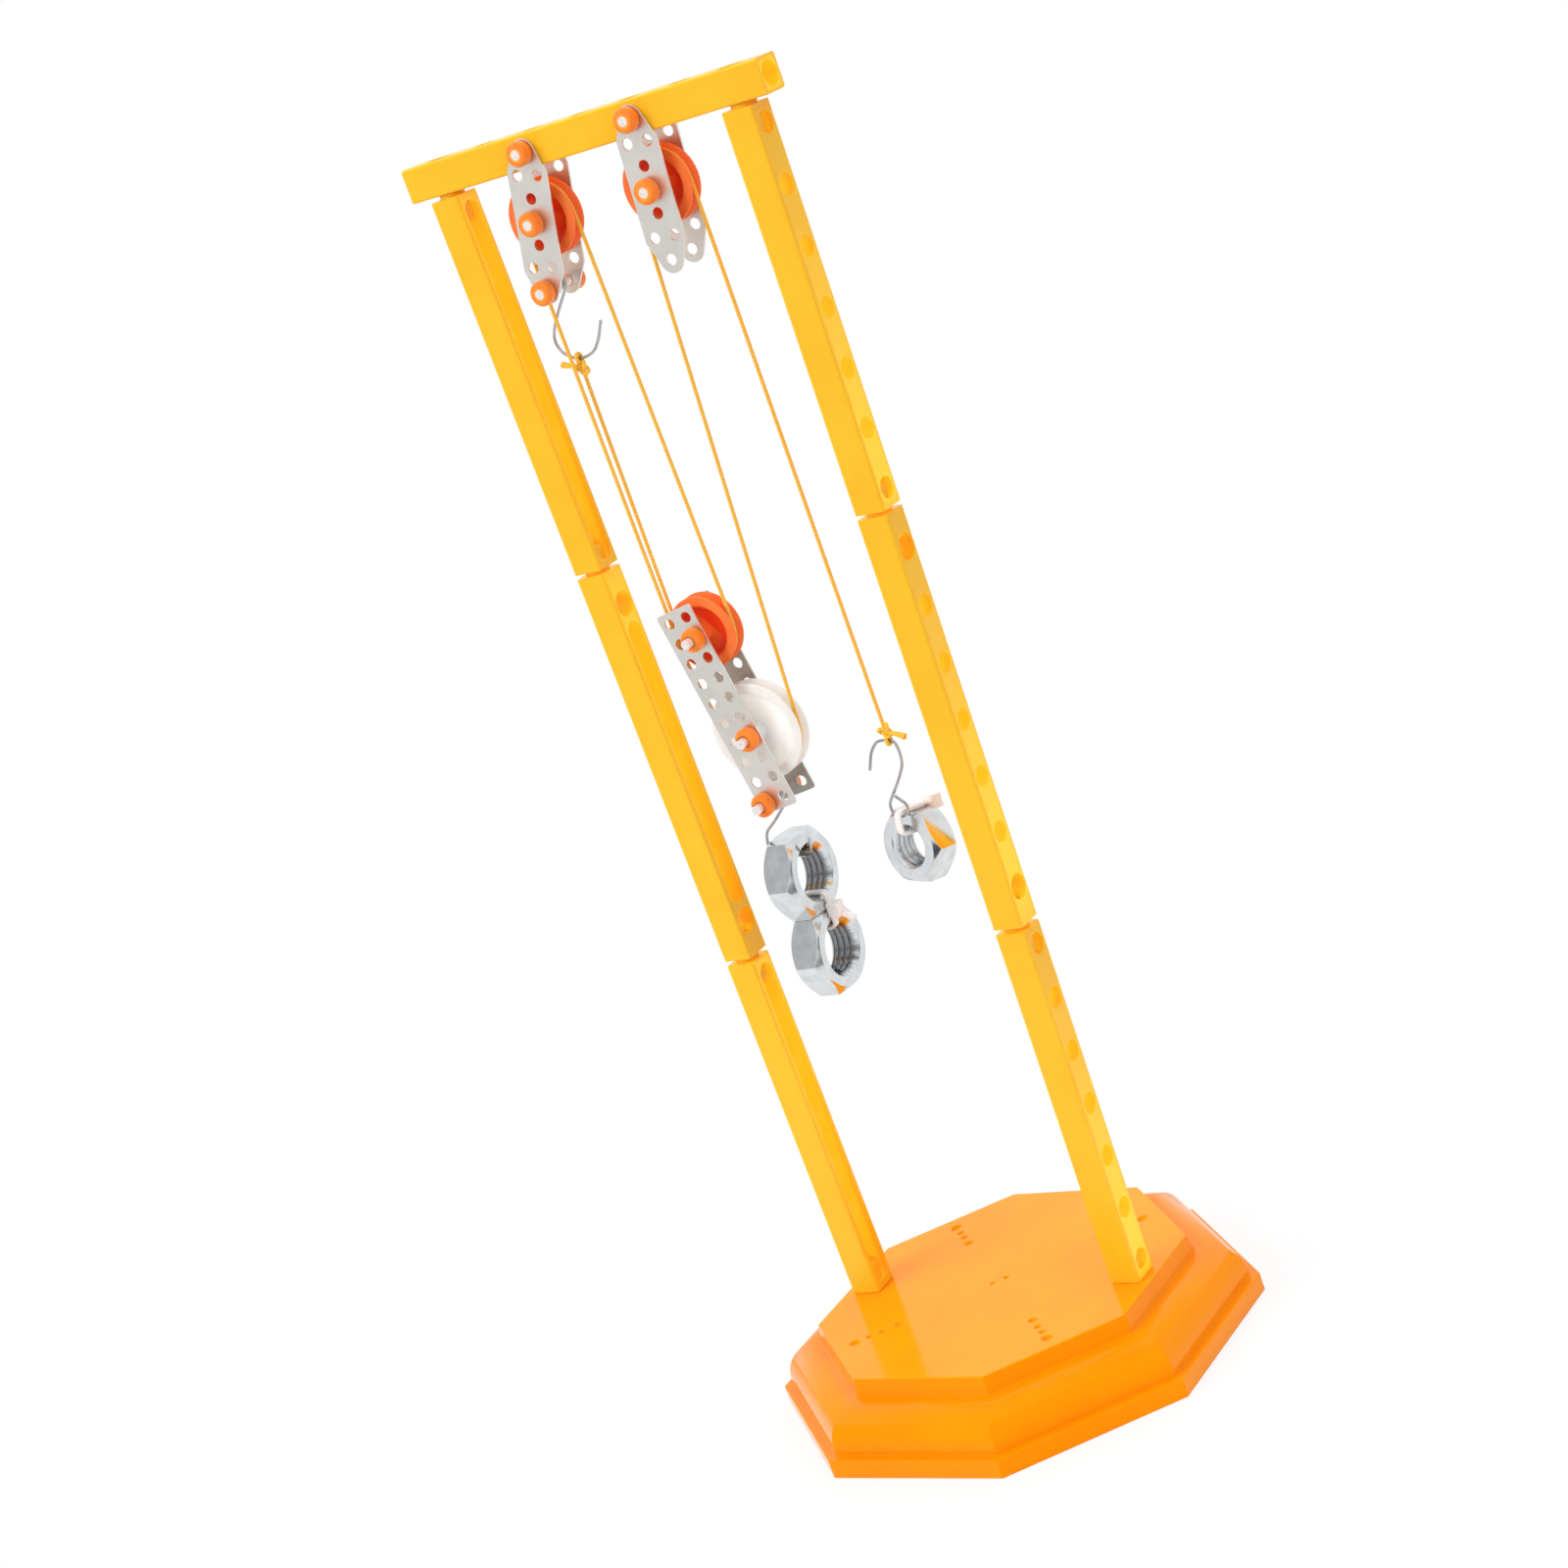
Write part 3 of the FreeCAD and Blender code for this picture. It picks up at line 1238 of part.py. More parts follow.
def make_effort_hook():
    """S-hook on the cord's free end, its lower end a closed loop that carries the effort nut."""
    crest = Vector(effort_line_x(), 0, hook_crest_z())
    corners = EFFORT_MOUTH + EFFORT_CREST + EFFORT_SHANK + EFFORT_EYE
    offsets = to_scale(corners, cell("effort_hook_drop"))
    make_wire("effort_hook", [crest + Vector(*offset) for offset in offsets])


def effort_line_x():
    """The cord's free run hangs plumb from the right wheel."""
    return value(RIGHT_WHEEL[0]) + value(cell("wheel_cord_radius"))


def cord_loop_radius():
    """Centreline radius of a cord loop around a hook's wire."""
    touching = (value(cell("wire_diameter")) + value(cell("cord_diameter"))) / 2
    return touching + value(cell("cord_loop_fit"))


def loop_drop():
    """Centre of a knot to the centre of the cord loop under it; the loop sinks into the knot."""
    return value(cell("knot_diameter")) / 2 + cord_loop_radius() - value(cell("loop_sink"))


def hook_crest_z():
    return value(cell("effort_knot_z")) - loop_drop()


def wheel_tangent(wheel, radius, x_side, other, other_radius, other_side):
    """Tangent points of the straight cord between two wheels, in the XZ plane.

    Each side is -1 or 1: the cord leaves that wheel on its -X or +X side. A radius of 0 is a point.
    """
    gap = other - wheel
    distance = gap.Length
    along = gap / distance
    normal = Vector(along.z, 0, -along.x)
    if normal.x < 0:
        normal = normal * -1
    lean = math.asin((x_side * radius - other_side * other_radius) / distance)
    offset = normal * math.cos(lean) + along * math.sin(lean)
    return wheel + offset * (x_side * radius), other + offset * (other_side * other_radius)


def wheel_arc(start, end, centre, radius, up):
    """Cord around a wheel from start to end, over its top (up = 1) or under it (up = -1)."""
    middle = centre + Vector(0, 0, up * radius)
    return Part.Arc(start, middle, end).toShape()


# The slack-side run from the left wheel to the lower load wheel passes in front of the upper
# load wheel: x and z of its two corners from that wheel's centre, in radii of its cord.
PASS_TOP = (-0.93, 1.31)
PASS_FOOT = (-0.83, -1.12)
# It swings back into the wheel's plane at this corner, from where it lands on the wheel.
GUIDE_OFFSET = (-0.01, 0.64)
# Length of the run in the wheel's plane above the upper load wheel, at the anchor's side.
ANCHOR_LEAD = 1.02
# Ends of the cord beyond the knots, from the knot's centre, in knot diameters.
ANCHOR_TAIL = [(-0.24, 0.14, 0.05), (-1.19, 0.24, 0.10), (-2.10, 0.29, 0.45)]
EFFORT_TAIL = [(0.24, 0.00, -0.05), (1.05, -0.10, -0.19), (1.81, -0.19, -0.60)]


def anchor_wire_run():
    """Start and end of the anchor hook's lowest straight stretch, where the cord is tied."""
    pin = world(BECKET_PIN, value(cell("anchor_hook_y")))
    corners = anchor_bend()
    ends = [corners[number] for number in ANCHOR_TIE_POINTS]
    return [pin + Vector(x, 0, z) for x, z in ends]


def tied_end(name, knot, wire, tail):
    """Knot, loop around a hook's wire and loose tail at one end of the cord."""
    diameter = value(cell("cord_diameter"))
    loop = knot + Vector(0, 0, -loop_drop())
    if name == "anchor":
        loop = (wire[0] + wire[1]) / 2
    ball = Part.makeSphere(value(cell("knot_diameter")) / 2, knot)
    ring = Part.makeTorus(cord_loop_radius(), diameter / 2, loop, wire[1] - wire[0])
    size = value(cell("knot_diameter"))
    run = rounded_run([knot + Vector(*offset) * size for offset in tail], f"{name} tail")
    return [ball, ring, sweep_tube(run, diameter, f"{name} tail")]


def make_cord():
    """One cord: anchor knot, upper load wheel, left wheel, lower load wheel, right wheel, effort knot."""
    small = value(cell("wheel_cord_radius"))
    big = value(cell("big_wheel_cord_radius"))
    left = world(LEFT_WHEEL)
    right = world(RIGHT_WHEEL)
    upper = world(UPPER_WHEEL)
    lower = world(LOWER_WHEEL)
    front = value(cell("cord_front_y"))

    anchor_wire = anchor_wire_run()
    anchor_knot = (anchor_wire[0] + anchor_wire[1]) / 2 - Vector(0, 0, loop_drop())
    flat_knot = Vector(anchor_knot.x, 0, anchor_knot.z)
    first_top, first_foot = wheel_tangent(flat_knot, 0, -1, upper, small, -1)
    second_foot, second_top = wheel_tangent(upper, small, 1, left, small, 1)
    third_top, third_foot = wheel_tangent(left, small, -1, lower, big, -1)
    fourth_foot, fourth_top = wheel_tangent(lower, big, 1, right, small, -1)
    effort_top = right + Vector(small, 0, 0)
    effort_knot = Vector(effort_top.x, 0, value(cell("effort_knot_z")))

    above_upper = first_foot + (first_top - first_foot).normalize() * ANCHOR_LEAD * small
    pass_top = upper + Vector(PASS_TOP[0] * small, front, PASS_TOP[1] * small)
    pass_foot = upper + Vector(PASS_FOOT[0] * small, front, PASS_FOOT[1] * small)
    guide = third_foot + Vector(GUIDE_OFFSET[0], 0, GUIDE_OFFSET[1]) * small
    entry, landing = wheel_tangent(guide, 0, -1, lower, big, -1)

    edges = rounded_run([anchor_knot, above_upper, first_foot], "cord")
    edges.append(wheel_arc(first_foot, second_foot, upper, small, -1))
    edges.append(Part.LineSegment(second_foot, second_top).toShape())
    edges.append(wheel_arc(second_top, third_top, left, small, 1))
    edges += rounded_run([third_top, pass_top, pass_foot, entry, landing], "cord")
    edges.append(wheel_arc(landing, fourth_foot, lower, big, -1))
    edges.append(Part.LineSegment(fourth_foot, fourth_top).toShape())
    edges.append(wheel_arc(fourth_top, effort_top, right, small, 1))
    edges.append(Part.LineSegment(effort_top, effort_knot).toShape())
    tube = sweep_tube(edges, value(cell("cord_diameter")), "cord")

    effort_wire = [Vector(*offset) for offset in EFFORT_CREST]
    ends = tied_end("anchor", anchor_knot, anchor_wire, ANCHOR_TAIL)
    ends += tied_end("effort", effort_knot, effort_wire, EFFORT_TAIL)
    keep_shape("cord", tube.multiFuse(ends))


# ---------------------------------------------------------------- assembly
def build():
    make_base()
    for label, side in (("left", -1), ("right", 1)):
        make_post(label, side)
    make_crossbar()
    left_rows = [HANGER_ROW, AXLE_ROW, BECKET_ROW]
    right_rows = [HANGER_ROW, AXLE_ROW]
    make_block("left_block", LEFT_TILT, cell("left_block_x"), left_rows)
    make_block("right_block", cell("right_block_tilt"), cell("right_block_x"), right_rows)
    make_load_block()
    make_wheels()
    make_nuts()
    make_load_tie()
    make_effort_tie()
    make_anchor_hook()
    make_load_hook()
    make_effort_hook()
    make_cord()
    DOC.recompute()


def check():
    """Stop if the document holds a failed object or a piece without a good shape."""
    for thing in DOC.Objects:
        if "Invalid" in thing.State or "Error" in thing.State:
            raise ValueError(f"{thing.Name} failed: {thing.State}")
    for thing in NODES:
        shape = thing.Shape
        if shape.isNull() or not shape.isValid() or not shape.Solids:
            raise ValueError(f"{thing.Label} has no good shape")


def write():
    os.makedirs("parts", exist_ok=True)
    for thing in NODES:
        thing.Shape.exportStep(f"parts/{thing.Label}.step")
        box = thing.Shape.BoundBox
        extent = f"{box.XLength:.1f} x {box.YLength:.1f} x {box.ZLength:.1f}"
        print(f"{thing.Label}: {len(thing.Shape.Solids)} solids, {extent}")


build()
check()
write()
PLACES = {
    "left_wheel": LEFT_WHEEL,
    "right_wheel": RIGHT_WHEEL,
    "upper_wheel": UPPER_WHEEL,
    "lower_wheel": LOWER_WHEEL,
    "hook_pin": HOOK_PIN,
    "becket_pin": BECKET_PIN,
    "crossbar": ("0", CROSSBAR_Z),
}
for name, expressions in PLACES.items():
    point = world(expressions)
    print(f"{name}: x {point.x:.3f} z {point.z:.3f}")
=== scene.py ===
"""Looks of the pulley demonstrator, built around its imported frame.

Frame: metres, +Z up, origin at the centre of the base's underside, X along the crossbar,
the viewer's side is -Y. Sizes are written in millimetres and named so, or times MM.
"""

import json
import logging
import math
from collections.abc import Iterable, Sequence
from dataclasses import dataclass
from enum import Enum

import bpy
import numpy as np
from mathutils import Matrix, Vector

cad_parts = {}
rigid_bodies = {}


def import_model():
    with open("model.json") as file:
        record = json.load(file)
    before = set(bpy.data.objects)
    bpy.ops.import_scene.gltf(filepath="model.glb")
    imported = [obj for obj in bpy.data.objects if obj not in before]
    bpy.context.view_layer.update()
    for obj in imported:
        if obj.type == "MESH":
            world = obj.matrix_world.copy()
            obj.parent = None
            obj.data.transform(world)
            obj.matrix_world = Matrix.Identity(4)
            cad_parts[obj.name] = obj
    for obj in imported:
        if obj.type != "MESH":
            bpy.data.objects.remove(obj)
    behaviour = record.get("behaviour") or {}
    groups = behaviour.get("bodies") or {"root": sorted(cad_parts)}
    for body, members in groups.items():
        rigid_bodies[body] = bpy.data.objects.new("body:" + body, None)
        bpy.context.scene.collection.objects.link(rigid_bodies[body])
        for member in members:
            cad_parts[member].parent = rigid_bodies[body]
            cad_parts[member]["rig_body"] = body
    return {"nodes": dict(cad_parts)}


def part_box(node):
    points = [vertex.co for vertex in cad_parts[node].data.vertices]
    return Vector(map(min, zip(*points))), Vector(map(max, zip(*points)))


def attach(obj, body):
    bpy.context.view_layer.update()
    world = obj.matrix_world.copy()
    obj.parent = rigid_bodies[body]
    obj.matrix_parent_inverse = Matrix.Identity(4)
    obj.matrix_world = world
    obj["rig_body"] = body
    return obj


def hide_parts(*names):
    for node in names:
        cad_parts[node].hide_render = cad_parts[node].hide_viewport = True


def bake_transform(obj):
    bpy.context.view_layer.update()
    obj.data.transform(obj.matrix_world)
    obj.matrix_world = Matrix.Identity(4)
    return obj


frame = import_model()

MM = 0.001
LOG = logging.getLogger("pulley")
Point = tuple[float, float, float]
Piece = bpy.types.Object
Tree = bpy.types.NodeTree
Node = bpy.types.Node
Socket = bpy.types.NodeSocket
# Attribute of a piece's points: 1 deep in a recess, hole, slot or thread, 0 on its outside.
# It places painted light and painted shade in recesses, and a weak painted lightening on the
# base's flat table.
RECESS = "recess"
BLACK = (0.0, 0.0, 0.0, 1.0)
WHITE = (1.0, 1.0, 1.0, 1.0)
# Refractive index of ABS, polypropylene and nylon.
PLASTIC_IOR = 1.53


# ---- small helpers
def linear(code: str) -> tuple[float, float, float, float]:
    """Turn an sRGB hex code into a linear colour.

    Args:
        code: Colour such as "#FF8800".

    Returns:
        Red, green, blue and alpha, linear.
    """
    channels = []
    for start in (1, 3, 5):
        share = int(code[start:start + 2], 16) / 255
        channels.append(share / 12.92 if share <= 0.04045 else ((share + 0.055) / 1.055) ** 2.4)
    return channels[0], channels[1], channels[2], 1.0


def add_node(tree: Tree, kind: str, inputs: dict | None = None, **settings) -> Node:
    """Add a node with its settings, input values and incoming links.

    Args:
        tree: Node tree that gets the node.
        kind: Blender's node type.
        inputs: Socket name or number to a value or to an output socket.
        **settings: Properties of the node itself.

    Returns:
        The new node.
    """
    node = tree.nodes.new(kind)
    for name, value in settings.items():
        setattr(node, name, value)
    for name, value in (inputs or {}).items():
        if isinstance(value, Socket):
            tree.links.new(value, node.inputs[name])
        else:
            node.inputs[name].default_value = value
    return node


# Paints light or shade into recesses: a paler colour as painted light, a darker one as painted
# shade.
def deeper(tree: Tree, colour: Socket | tuple, inside: str) -> Socket:
    """Change a colour to another one where a piece's points are marked as lying deep.

    Args:
        tree: Node tree of the material.
        colour: Colour on the outer faces, as a value or an output socket.
        inside: Colour deep in a recess, as an sRGB hex code.

    Returns:
        The socket that gives the mixed colour.
    """
    depth = add_node(tree, "ShaderNodeAttribute", attribute_name=RECESS)
    mixed = add_node(tree, "ShaderNodeMixRGB", {
        "Fac": depth.outputs["Fac"], "Color1": colour, "Color2": linear(inside),
    })
    return mixed.outputs["Color"]


def mottled(tree: Tree, noise: dict, tones: dict[float, str]) -> tuple[Socket, Socket]:
    """Add a noise and colour it in two tones that run into each other.

    Args:
        tree: Node tree of the material.
        noise: Socket name of the noise to a value or to an output socket.
        tones: Value of the noise to the tone that it gets there, as an sRGB hex code.

    Returns:
        The sockets that give the noise and the colour.
    """
    pattern = add_node(tree, "ShaderNodeTexNoise", noise).outputs[0]
    ramp = add_node(tree, "ShaderNodeValToRGB", {"Fac": pattern})
    for stop, (value, tone) in zip(ramp.color_ramp.elements, tones.items()):
        stop.position, stop.color = value, linear(tone)
    return pattern, ramp.outputs["Color"]


def add_object(name: str, data: bpy.types.ID) -> Piece:
    """Add an object to the scene.

    Args:
        name: Its name.
        data: Its mesh, curve, lamp or camera data.

    Returns:
        The new object, at the origin.
    """
    made = bpy.data.objects.new(name, data)
    bpy.context.scene.collection.objects.link(made)
    return made


def select_only(piece: Piece) -> None:
    """Make one object the selected and active one."""
    bpy.ops.object.select_all(action="DESELECT")
    piece.select_set(True)
    bpy.context.view_layer.objects.active = piece


def apply_modifier(piece: Piece, kind: str, **settings) -> None:
    """Add a modifier and apply it.

    Args:
        piece: Object that gets it.
        kind: Blender's modifier type.
        **settings: Properties of the modifier.
    """
    select_only(piece)
    modifier = piece.modifiers.new(kind.lower(), kind)
    for name, value in settings.items():
        setattr(modifier, name, value)
    bpy.ops.object.modifier_apply(modifier=modifier.name)


# ---- finishes
@dataclass(frozen=True)
class Finish:
    """A surface finish: one material, made once and shared by its pieces."""

    name: str

    def shade(self, tree: Tree) -> Node:
        """Build the surface shader; each kind of finish has its own."""
        raise NotImplementedError

    def material(self) -> bpy.types.Material:
        """Make the finish's material the first time it is asked for.

        Returns:
            The one material of this finish.
        """
        found = bpy.data.materials.get(self.name)
        if found:
            return found
        made = bpy.data.materials.new(self.name)
        made.use_nodes = True
        made.node_tree.nodes.clear()
        shader = self.shade(made.node_tree)
        add_node(made.node_tree, "ShaderNodeOutputMaterial", {"Surface": shader.outputs[0]})
        return made

    def dress(self, piece: Piece) -> None:
        """Give the finish to every material slot of a piece."""
        piece.data.materials.clear()
        piece.data.materials.append(self.material())


@dataclass(frozen=True)
class MouldedPlastic(Finish):
    """Injection-moulded ABS or similar: dyed through, with the mould's gloss.

    Slow patches of tone come from the pigment's flow, the fine waviness of the surface from
    shrinking in the mould, and small marks of lesser gloss from handling. "recess" is the colour
    painted deep in recesses: painted light where it is paler, painted shade where it is darker.
    "through" is the strength of a painted glow in recesses, as a share of full white, standing in
    for the light that comes through the thin walls around a recess. "mirror_tint" colours what
    the plastic mirrors when it is looked at squarely, and "marked_roughness" is what a mark adds
    to the roughness.
    """

    colour: str
    deep: str
    roughness: float = 0.22
    marked_roughness: float = 0.14
    glow: float = 0.0
    glow_reach_mm: float = 2.0
    glow_spread: Point = (1.0, 0.6, 0.25)
    recess: str = ""
    through: float = 0.0
    gloss: float = 0.5
    mirror_tint: str = "#FFFFFF"
    patch_mm: float = 28.0
    wave_mm: float = 5.0
    wave_height_mm: float = 0.006
    mark_mm: float = 1.6

    def shade(self, tree: Tree) -> Node:
        """Build the plastic's shader.

        Args:
            tree: Node tree of the material.

        Returns:
            The Principled node.
        """
        place = add_node(tree, "ShaderNodeTexCoord").outputs["Object"]
        colour = mottled(tree, {
            "Vector": place, "Scale": 1000 / self.patch_mm, "Detail": 3.0, "Roughness": 0.55,
        }, {0.35: self.deep, 0.62: self.colour})[1]
        # Recesses are painted their recess colour: painted light where it is paler, painted shade
        # where it is darker.
        if self.recess:
            colour = deeper(tree, colour, self.recess)
        waves = add_node(tree, "ShaderNodeTexNoise", {
            "Vector": place, "Scale": 1000 / self.wave_mm, "Detail": 4.0, "Roughness": 0.6,
        })
        marks = add_node(tree, "ShaderNodeTexNoise", {
            "Vector": place, "Scale": 1000 / self.mark_mm, "Detail": 5.0, "Roughness": 0.7,
        })
        dullness = add_node(tree, "ShaderNodeMapRange", {
            "Value": marks.outputs[0], "From Min": 0.55, "From Max": 0.75,
            "To Min": self.roughness, "To Max": self.roughness + self.marked_roughness,
        })
        bump = add_node(tree, "ShaderNodeBump", {
            "Height": waves.outputs[0], "Distance": self.wave_height_mm * MM,
        })
        return add_node(tree, "ShaderNodeBsdfPrincipled", {
            "Base Color": colour,
            "Roughness": dullness.outputs["Result"],
            "Normal": bump.outputs["Normal"],
            "IOR": PLASTIC_IOR,
            "Specular IOR Level": self.gloss,
            "Specular Tint": linear(self.mirror_tint),
            "Subsurface Weight": self.glow,
            "Subsurface Radius": self.glow_spread,
            "Subsurface Scale": self.glow_reach_mm * MM,
            # Painted glow: recesses give off light in their recess colour, for light that comes
            # through the walls.
            "Emission Color": deeper(tree, BLACK, self.recess) if self.through else BLACK,
            "Emission Strength": self.through,
        })


class Grain(Enum):
    """Direction of the fine lines in a metal, as the share of line length per axis."""

    ALONG_Z = (1.0, 1.0, 0.02)
    ROUND_Y = (1.0, 0.05, 1.0)
    NONE = (1.0, 1.0, 1.0)


@dataclass(frozen=True)
class PlatedSteel(Finish):
    """Steel with a thin zinc or nickel plating.

    Rolling or drawing leaves fine lines that the plating follows; the plating itself has a
    cloudy bloom that changes how sharp a reflection is.
    """

    colour: str
    cloud: str
    roughness: float = 0.28
    rough_spread: float = 0.12
    grain: Grain = Grain.NONE
    line_mm: float = 0.25
    line_height_mm: float = 0.002
    cloud_mm: float = 7.0
    metallic: float = 1.0
    recess: str = ""

    def shade(self, tree: Tree) -> Node:
        """Build the plated metal's shader.

        Args:
            tree: Node tree of the material.

        Returns:
            The Principled node.
        """
        place = add_node(tree, "ShaderNodeTexCoord").outputs["Object"]
        stretched = add_node(tree, "ShaderNodeMapping", {
            "Vector": place, "Scale": self.grain.value,
        })
        clouds, colour = mottled(tree, {
            "Vector": place, "Scale": 1000 / self.cloud_mm, "Detail": 5.0, "Roughness": 0.6,
        }, {0.35: self.cloud, 0.65: self.colour})
        lines = add_node(tree, "ShaderNodeTexNoise", {
            "Vector": stretched.outputs[0], "Scale": 1000 / self.line_mm, "Detail": 3.0,
        })
        sharpness = add_node(tree, "ShaderNodeMapRange", {
            "Value": clouds, "From Min": 0.35, "From Max": 0.65,
            "To Min": self.roughness, "To Max": self.roughness + self.rough_spread,
        })
        bump = add_node(tree, "ShaderNodeBump", {
            "Height": lines.outputs[0], "Distance": self.line_height_mm * MM,
        })
        # Recesses are painted their recess colour: painted shade in the nuts' threads.
        if self.recess:
            colour = deeper(tree, colour, self.recess)
        return add_node(tree, "ShaderNodeBsdfPrincipled", {
            "Base Color": colour,
            "Metallic": self.metallic,
            "Roughness": sharpness.outputs["Result"],
            "Normal": bump.outputs["Normal"],
        })


@dataclass(frozen=True)
class ClearNylon(Finish):
    """Natural nylon, undyed: milky, and light passes some way through it."""

    colour: str
    milk: str
    roughness: float = 0.32
    reach_mm: float = 6.0
    rough_spread: float = 0.1
    passing: float = 0.25
    # Strength of a painted glow in recesses, in the milk colour.
    through: float = 0.0
    flow_mm: float = 6.25
    grains_per_mm: float = 0.9
    grain_height_mm: float = 0.01

    def shade(self, tree: Tree) -> Node:
        """Build the nylon's shader.

        Args:
            tree: Node tree of the material.

        Returns:
            The Principled node.
        """
        place = add_node(tree, "ShaderNodeTexCoord").outputs["Object"]
        flow, colour = mottled(tree, {
            "Vector": place, "Scale": 1000 / self.flow_mm, "Detail": 4.0,
        }, {0.35: self.milk, 0.65: self.colour})
        grain = add_node(tree, "ShaderNodeTexNoise", {
            "Vector": place, "Scale": self.grains_per_mm / MM, "Detail": 3.0,
        })
        bump = add_node(tree, "ShaderNodeBump", {
            "Height": grain.outputs[0], "Distance": self.grain_height_mm * MM,
        })
        dullness = add_node(tree, "ShaderNodeMapRange", {
            "Value": flow,
            "To Min": self.roughness, "To Max": self.roughness + self.rough_spread,
        })
        return add_node(tree, "ShaderNodeBsdfPrincipled", {
            "Base Color": colour,
            "Roughness": dullness.outputs["Result"],
            "Normal": bump.outputs["Normal"],
            "IOR": PLASTIC_IOR,
            "Transmission Weight": self.passing,
            "Subsurface Weight": 0.6,
            "Subsurface Radius": (1.0, 0.85, 0.75),
            "Subsurface Scale": self.reach_mm * MM,
            # Painted glow in recesses, in the milk colour.
            "Emission Color": deeper(tree, BLACK, self.milk) if self.through else BLACK,
            "Emission Strength": self.through,
        })


@dataclass(frozen=True)
class Yarn(Finish):
    """Spun polyester yarn of a braided cord: matt fibres along each strand, with a sheen.

    "fibres" is how many fibres the pattern shows per millimetre along a strand, where they
    are long, and once around it.
    """

    colour: str
    hollow_shade: str
    fibres: tuple[float, float] = (0.8, 9.0)
    fibre_height_mm: float = 0.03

    def shade(self, tree: Tree) -> Node:
        """Build the yarn's shader; its map runs along (x, in mm) and around (y) a strand.

        Args:
            tree: Node tree of the material.

        Returns:
            The Principled node.
        """
        place = add_node(tree, "ShaderNodeUVMap", uv_map="yarn").outputs["UV"]
        twisted = add_node(tree, "ShaderNodeMapping", {
            "Vector": place, "Scale": (*self.fibres, 1.0),
        })
        # Painted shade: the fibres' low points, which the bump sinks, are painted the darker
        # colour.
        fibres, colour = mottled(tree, {
            "Vector": twisted.outputs[0], "Scale": 1.0, "Detail": 4.0, "Roughness": 0.65,
        }, {0.3: self.hollow_shade, 0.6: self.colour})
        bump = add_node(tree, "ShaderNodeBump", {
            "Height": fibres, "Distance": self.fibre_height_mm * MM,
        })
        return add_node(tree, "ShaderNodeBsdfPrincipled", {
            "Base Color": colour,
            "Normal": bump.outputs["Normal"],
            "Roughness": 0.75,
            "Sheen Weight": 0.3,
            "Sheen Roughness": 0.4,
        })


# High-gloss ABS in a clear orange: the table mirrors the posts, the mouldings the room.
# Its slots, and weakly its flat table, are painted paler and given a painted glow.
BASE_ABS = MouldedPlastic(
    "base_orange_abs", "#FF9604", "#FF8E02", roughness=0.12, gloss=0.3, glow=0.1,
    glow_spread=(1.0, 0.6, 0.1), recess="#FFC020", through=0.3, mirror_tint="#FFA040",
    patch_mm=60.0, wave_mm=9.0, wave_height_mm=0.008,
)
# The same resin in yellow, less polished: bars of a construction set. Their holes and slots
# are painted paler, with a painted glow, for the light that passes through their walls.
BEAM_ABS = MouldedPlastic(
    "beam_yellow_abs", "#FFC226", "#FFBC20", roughness=0.3, gloss=0.25, glow=0.3,
    glow_reach_mm=2.5, glow_spread=(1.0, 0.75, 0.3), recess="#FFC82A", through=0.3,
    patch_mm=35.0, wave_mm=7.0, wave_height_mm=0.01,
)
PEG_ABS = MouldedPlastic(
    "peg_yellow_abs", "#FFC024", "#FFB81A", roughness=0.35, gloss=0.3, glow=0.8,
    glow_reach_mm=4.0, patch_mm=10.0,
)
# Soft vinyl tube cut into collars: the light sinks in at its edges.
# Their bores are given a painted glow.
COLLAR_VINYL = MouldedPlastic(
    "collar_orange_vinyl", "#FF9028", "#FF8420", roughness=0.3, gloss=0.4, glow=0.8,
    glow_reach_mm=2.4, glow_spread=(1.0, 0.5, 0.2), recess="#FF8A2A", through=0.5,
    patch_mm=5.0, wave_mm=1.6, wave_height_mm=0.01,
)
# Polypropylene wheels: a redder orange.
# Their recessed web is painted a deeper red, partly for the thin web and partly as painted shade,
# with a faint painted glow.
WHEEL_ORANGE = MouldedPlastic(
    "wheel_orange_polypropylene", "#FF8038", "#FF7430", roughness=0.34, gloss=0.35, glow=0.5,
    glow_spread=(1.0, 0.45, 0.2), recess="#EA3C14", through=0.06, patch_mm=9.0,
    wave_mm=2.5, wave_height_mm=0.008,
)
# Its recessed web gets a painted glow.
WHEEL_NYLON = ClearNylon(
    "wheel_natural_nylon", "#FCF8F4", "#F6F0EA", reach_mm=8.0, passing=0.06, through=0.14,
)
TIE_NYLON = ClearNylon(
    "tie_natural_nylon", "#FFF4F1", "#FBEBE8", roughness=0.4, reach_mm=3.0, passing=0.0,
    grain_height_mm=0.002,
)
# Punched strip with a dull zinc coat.
STRIP_ZINC = PlatedSteel(
    "strip_dull_zinc", "#ECE8E2", "#E4E0DA", roughness=0.34, rough_spread=0.06,
    grain=Grain.ALONG_Z, line_mm=0.3, line_height_mm=0.003, cloud_mm=16.0, metallic=0.85,
)
# The load block's back strip is a darker, browner copy of the strip finish: painted shade.
STRIP_SHADED = PlatedSteel(
    "strip_zinc_painted_shade", "#BDB8AF", "#A8A39A", roughness=0.34, rough_spread=0.1,
    grain=Grain.ALONG_Z, line_mm=0.3, line_height_mm=0.003, cloud_mm=9.0, metallic=0.9,
)
PIN_STEEL = PlatedSteel(
    "pin_bright_rod", "#FFF9F6", "#F2ECE9", roughness=0.26, rough_spread=0.08,
    grain=Grain.ROUND_Y, cloud_mm=2.0, metallic=0.55,
)
HOOK_WIRE = PlatedSteel(
    "hook_bright_wire", "#C4C4C6", "#AEAEB0", roughness=0.08, rough_spread=0.05, cloud_mm=6.0,
    line_mm=0.4, line_height_mm=0.0003,
)
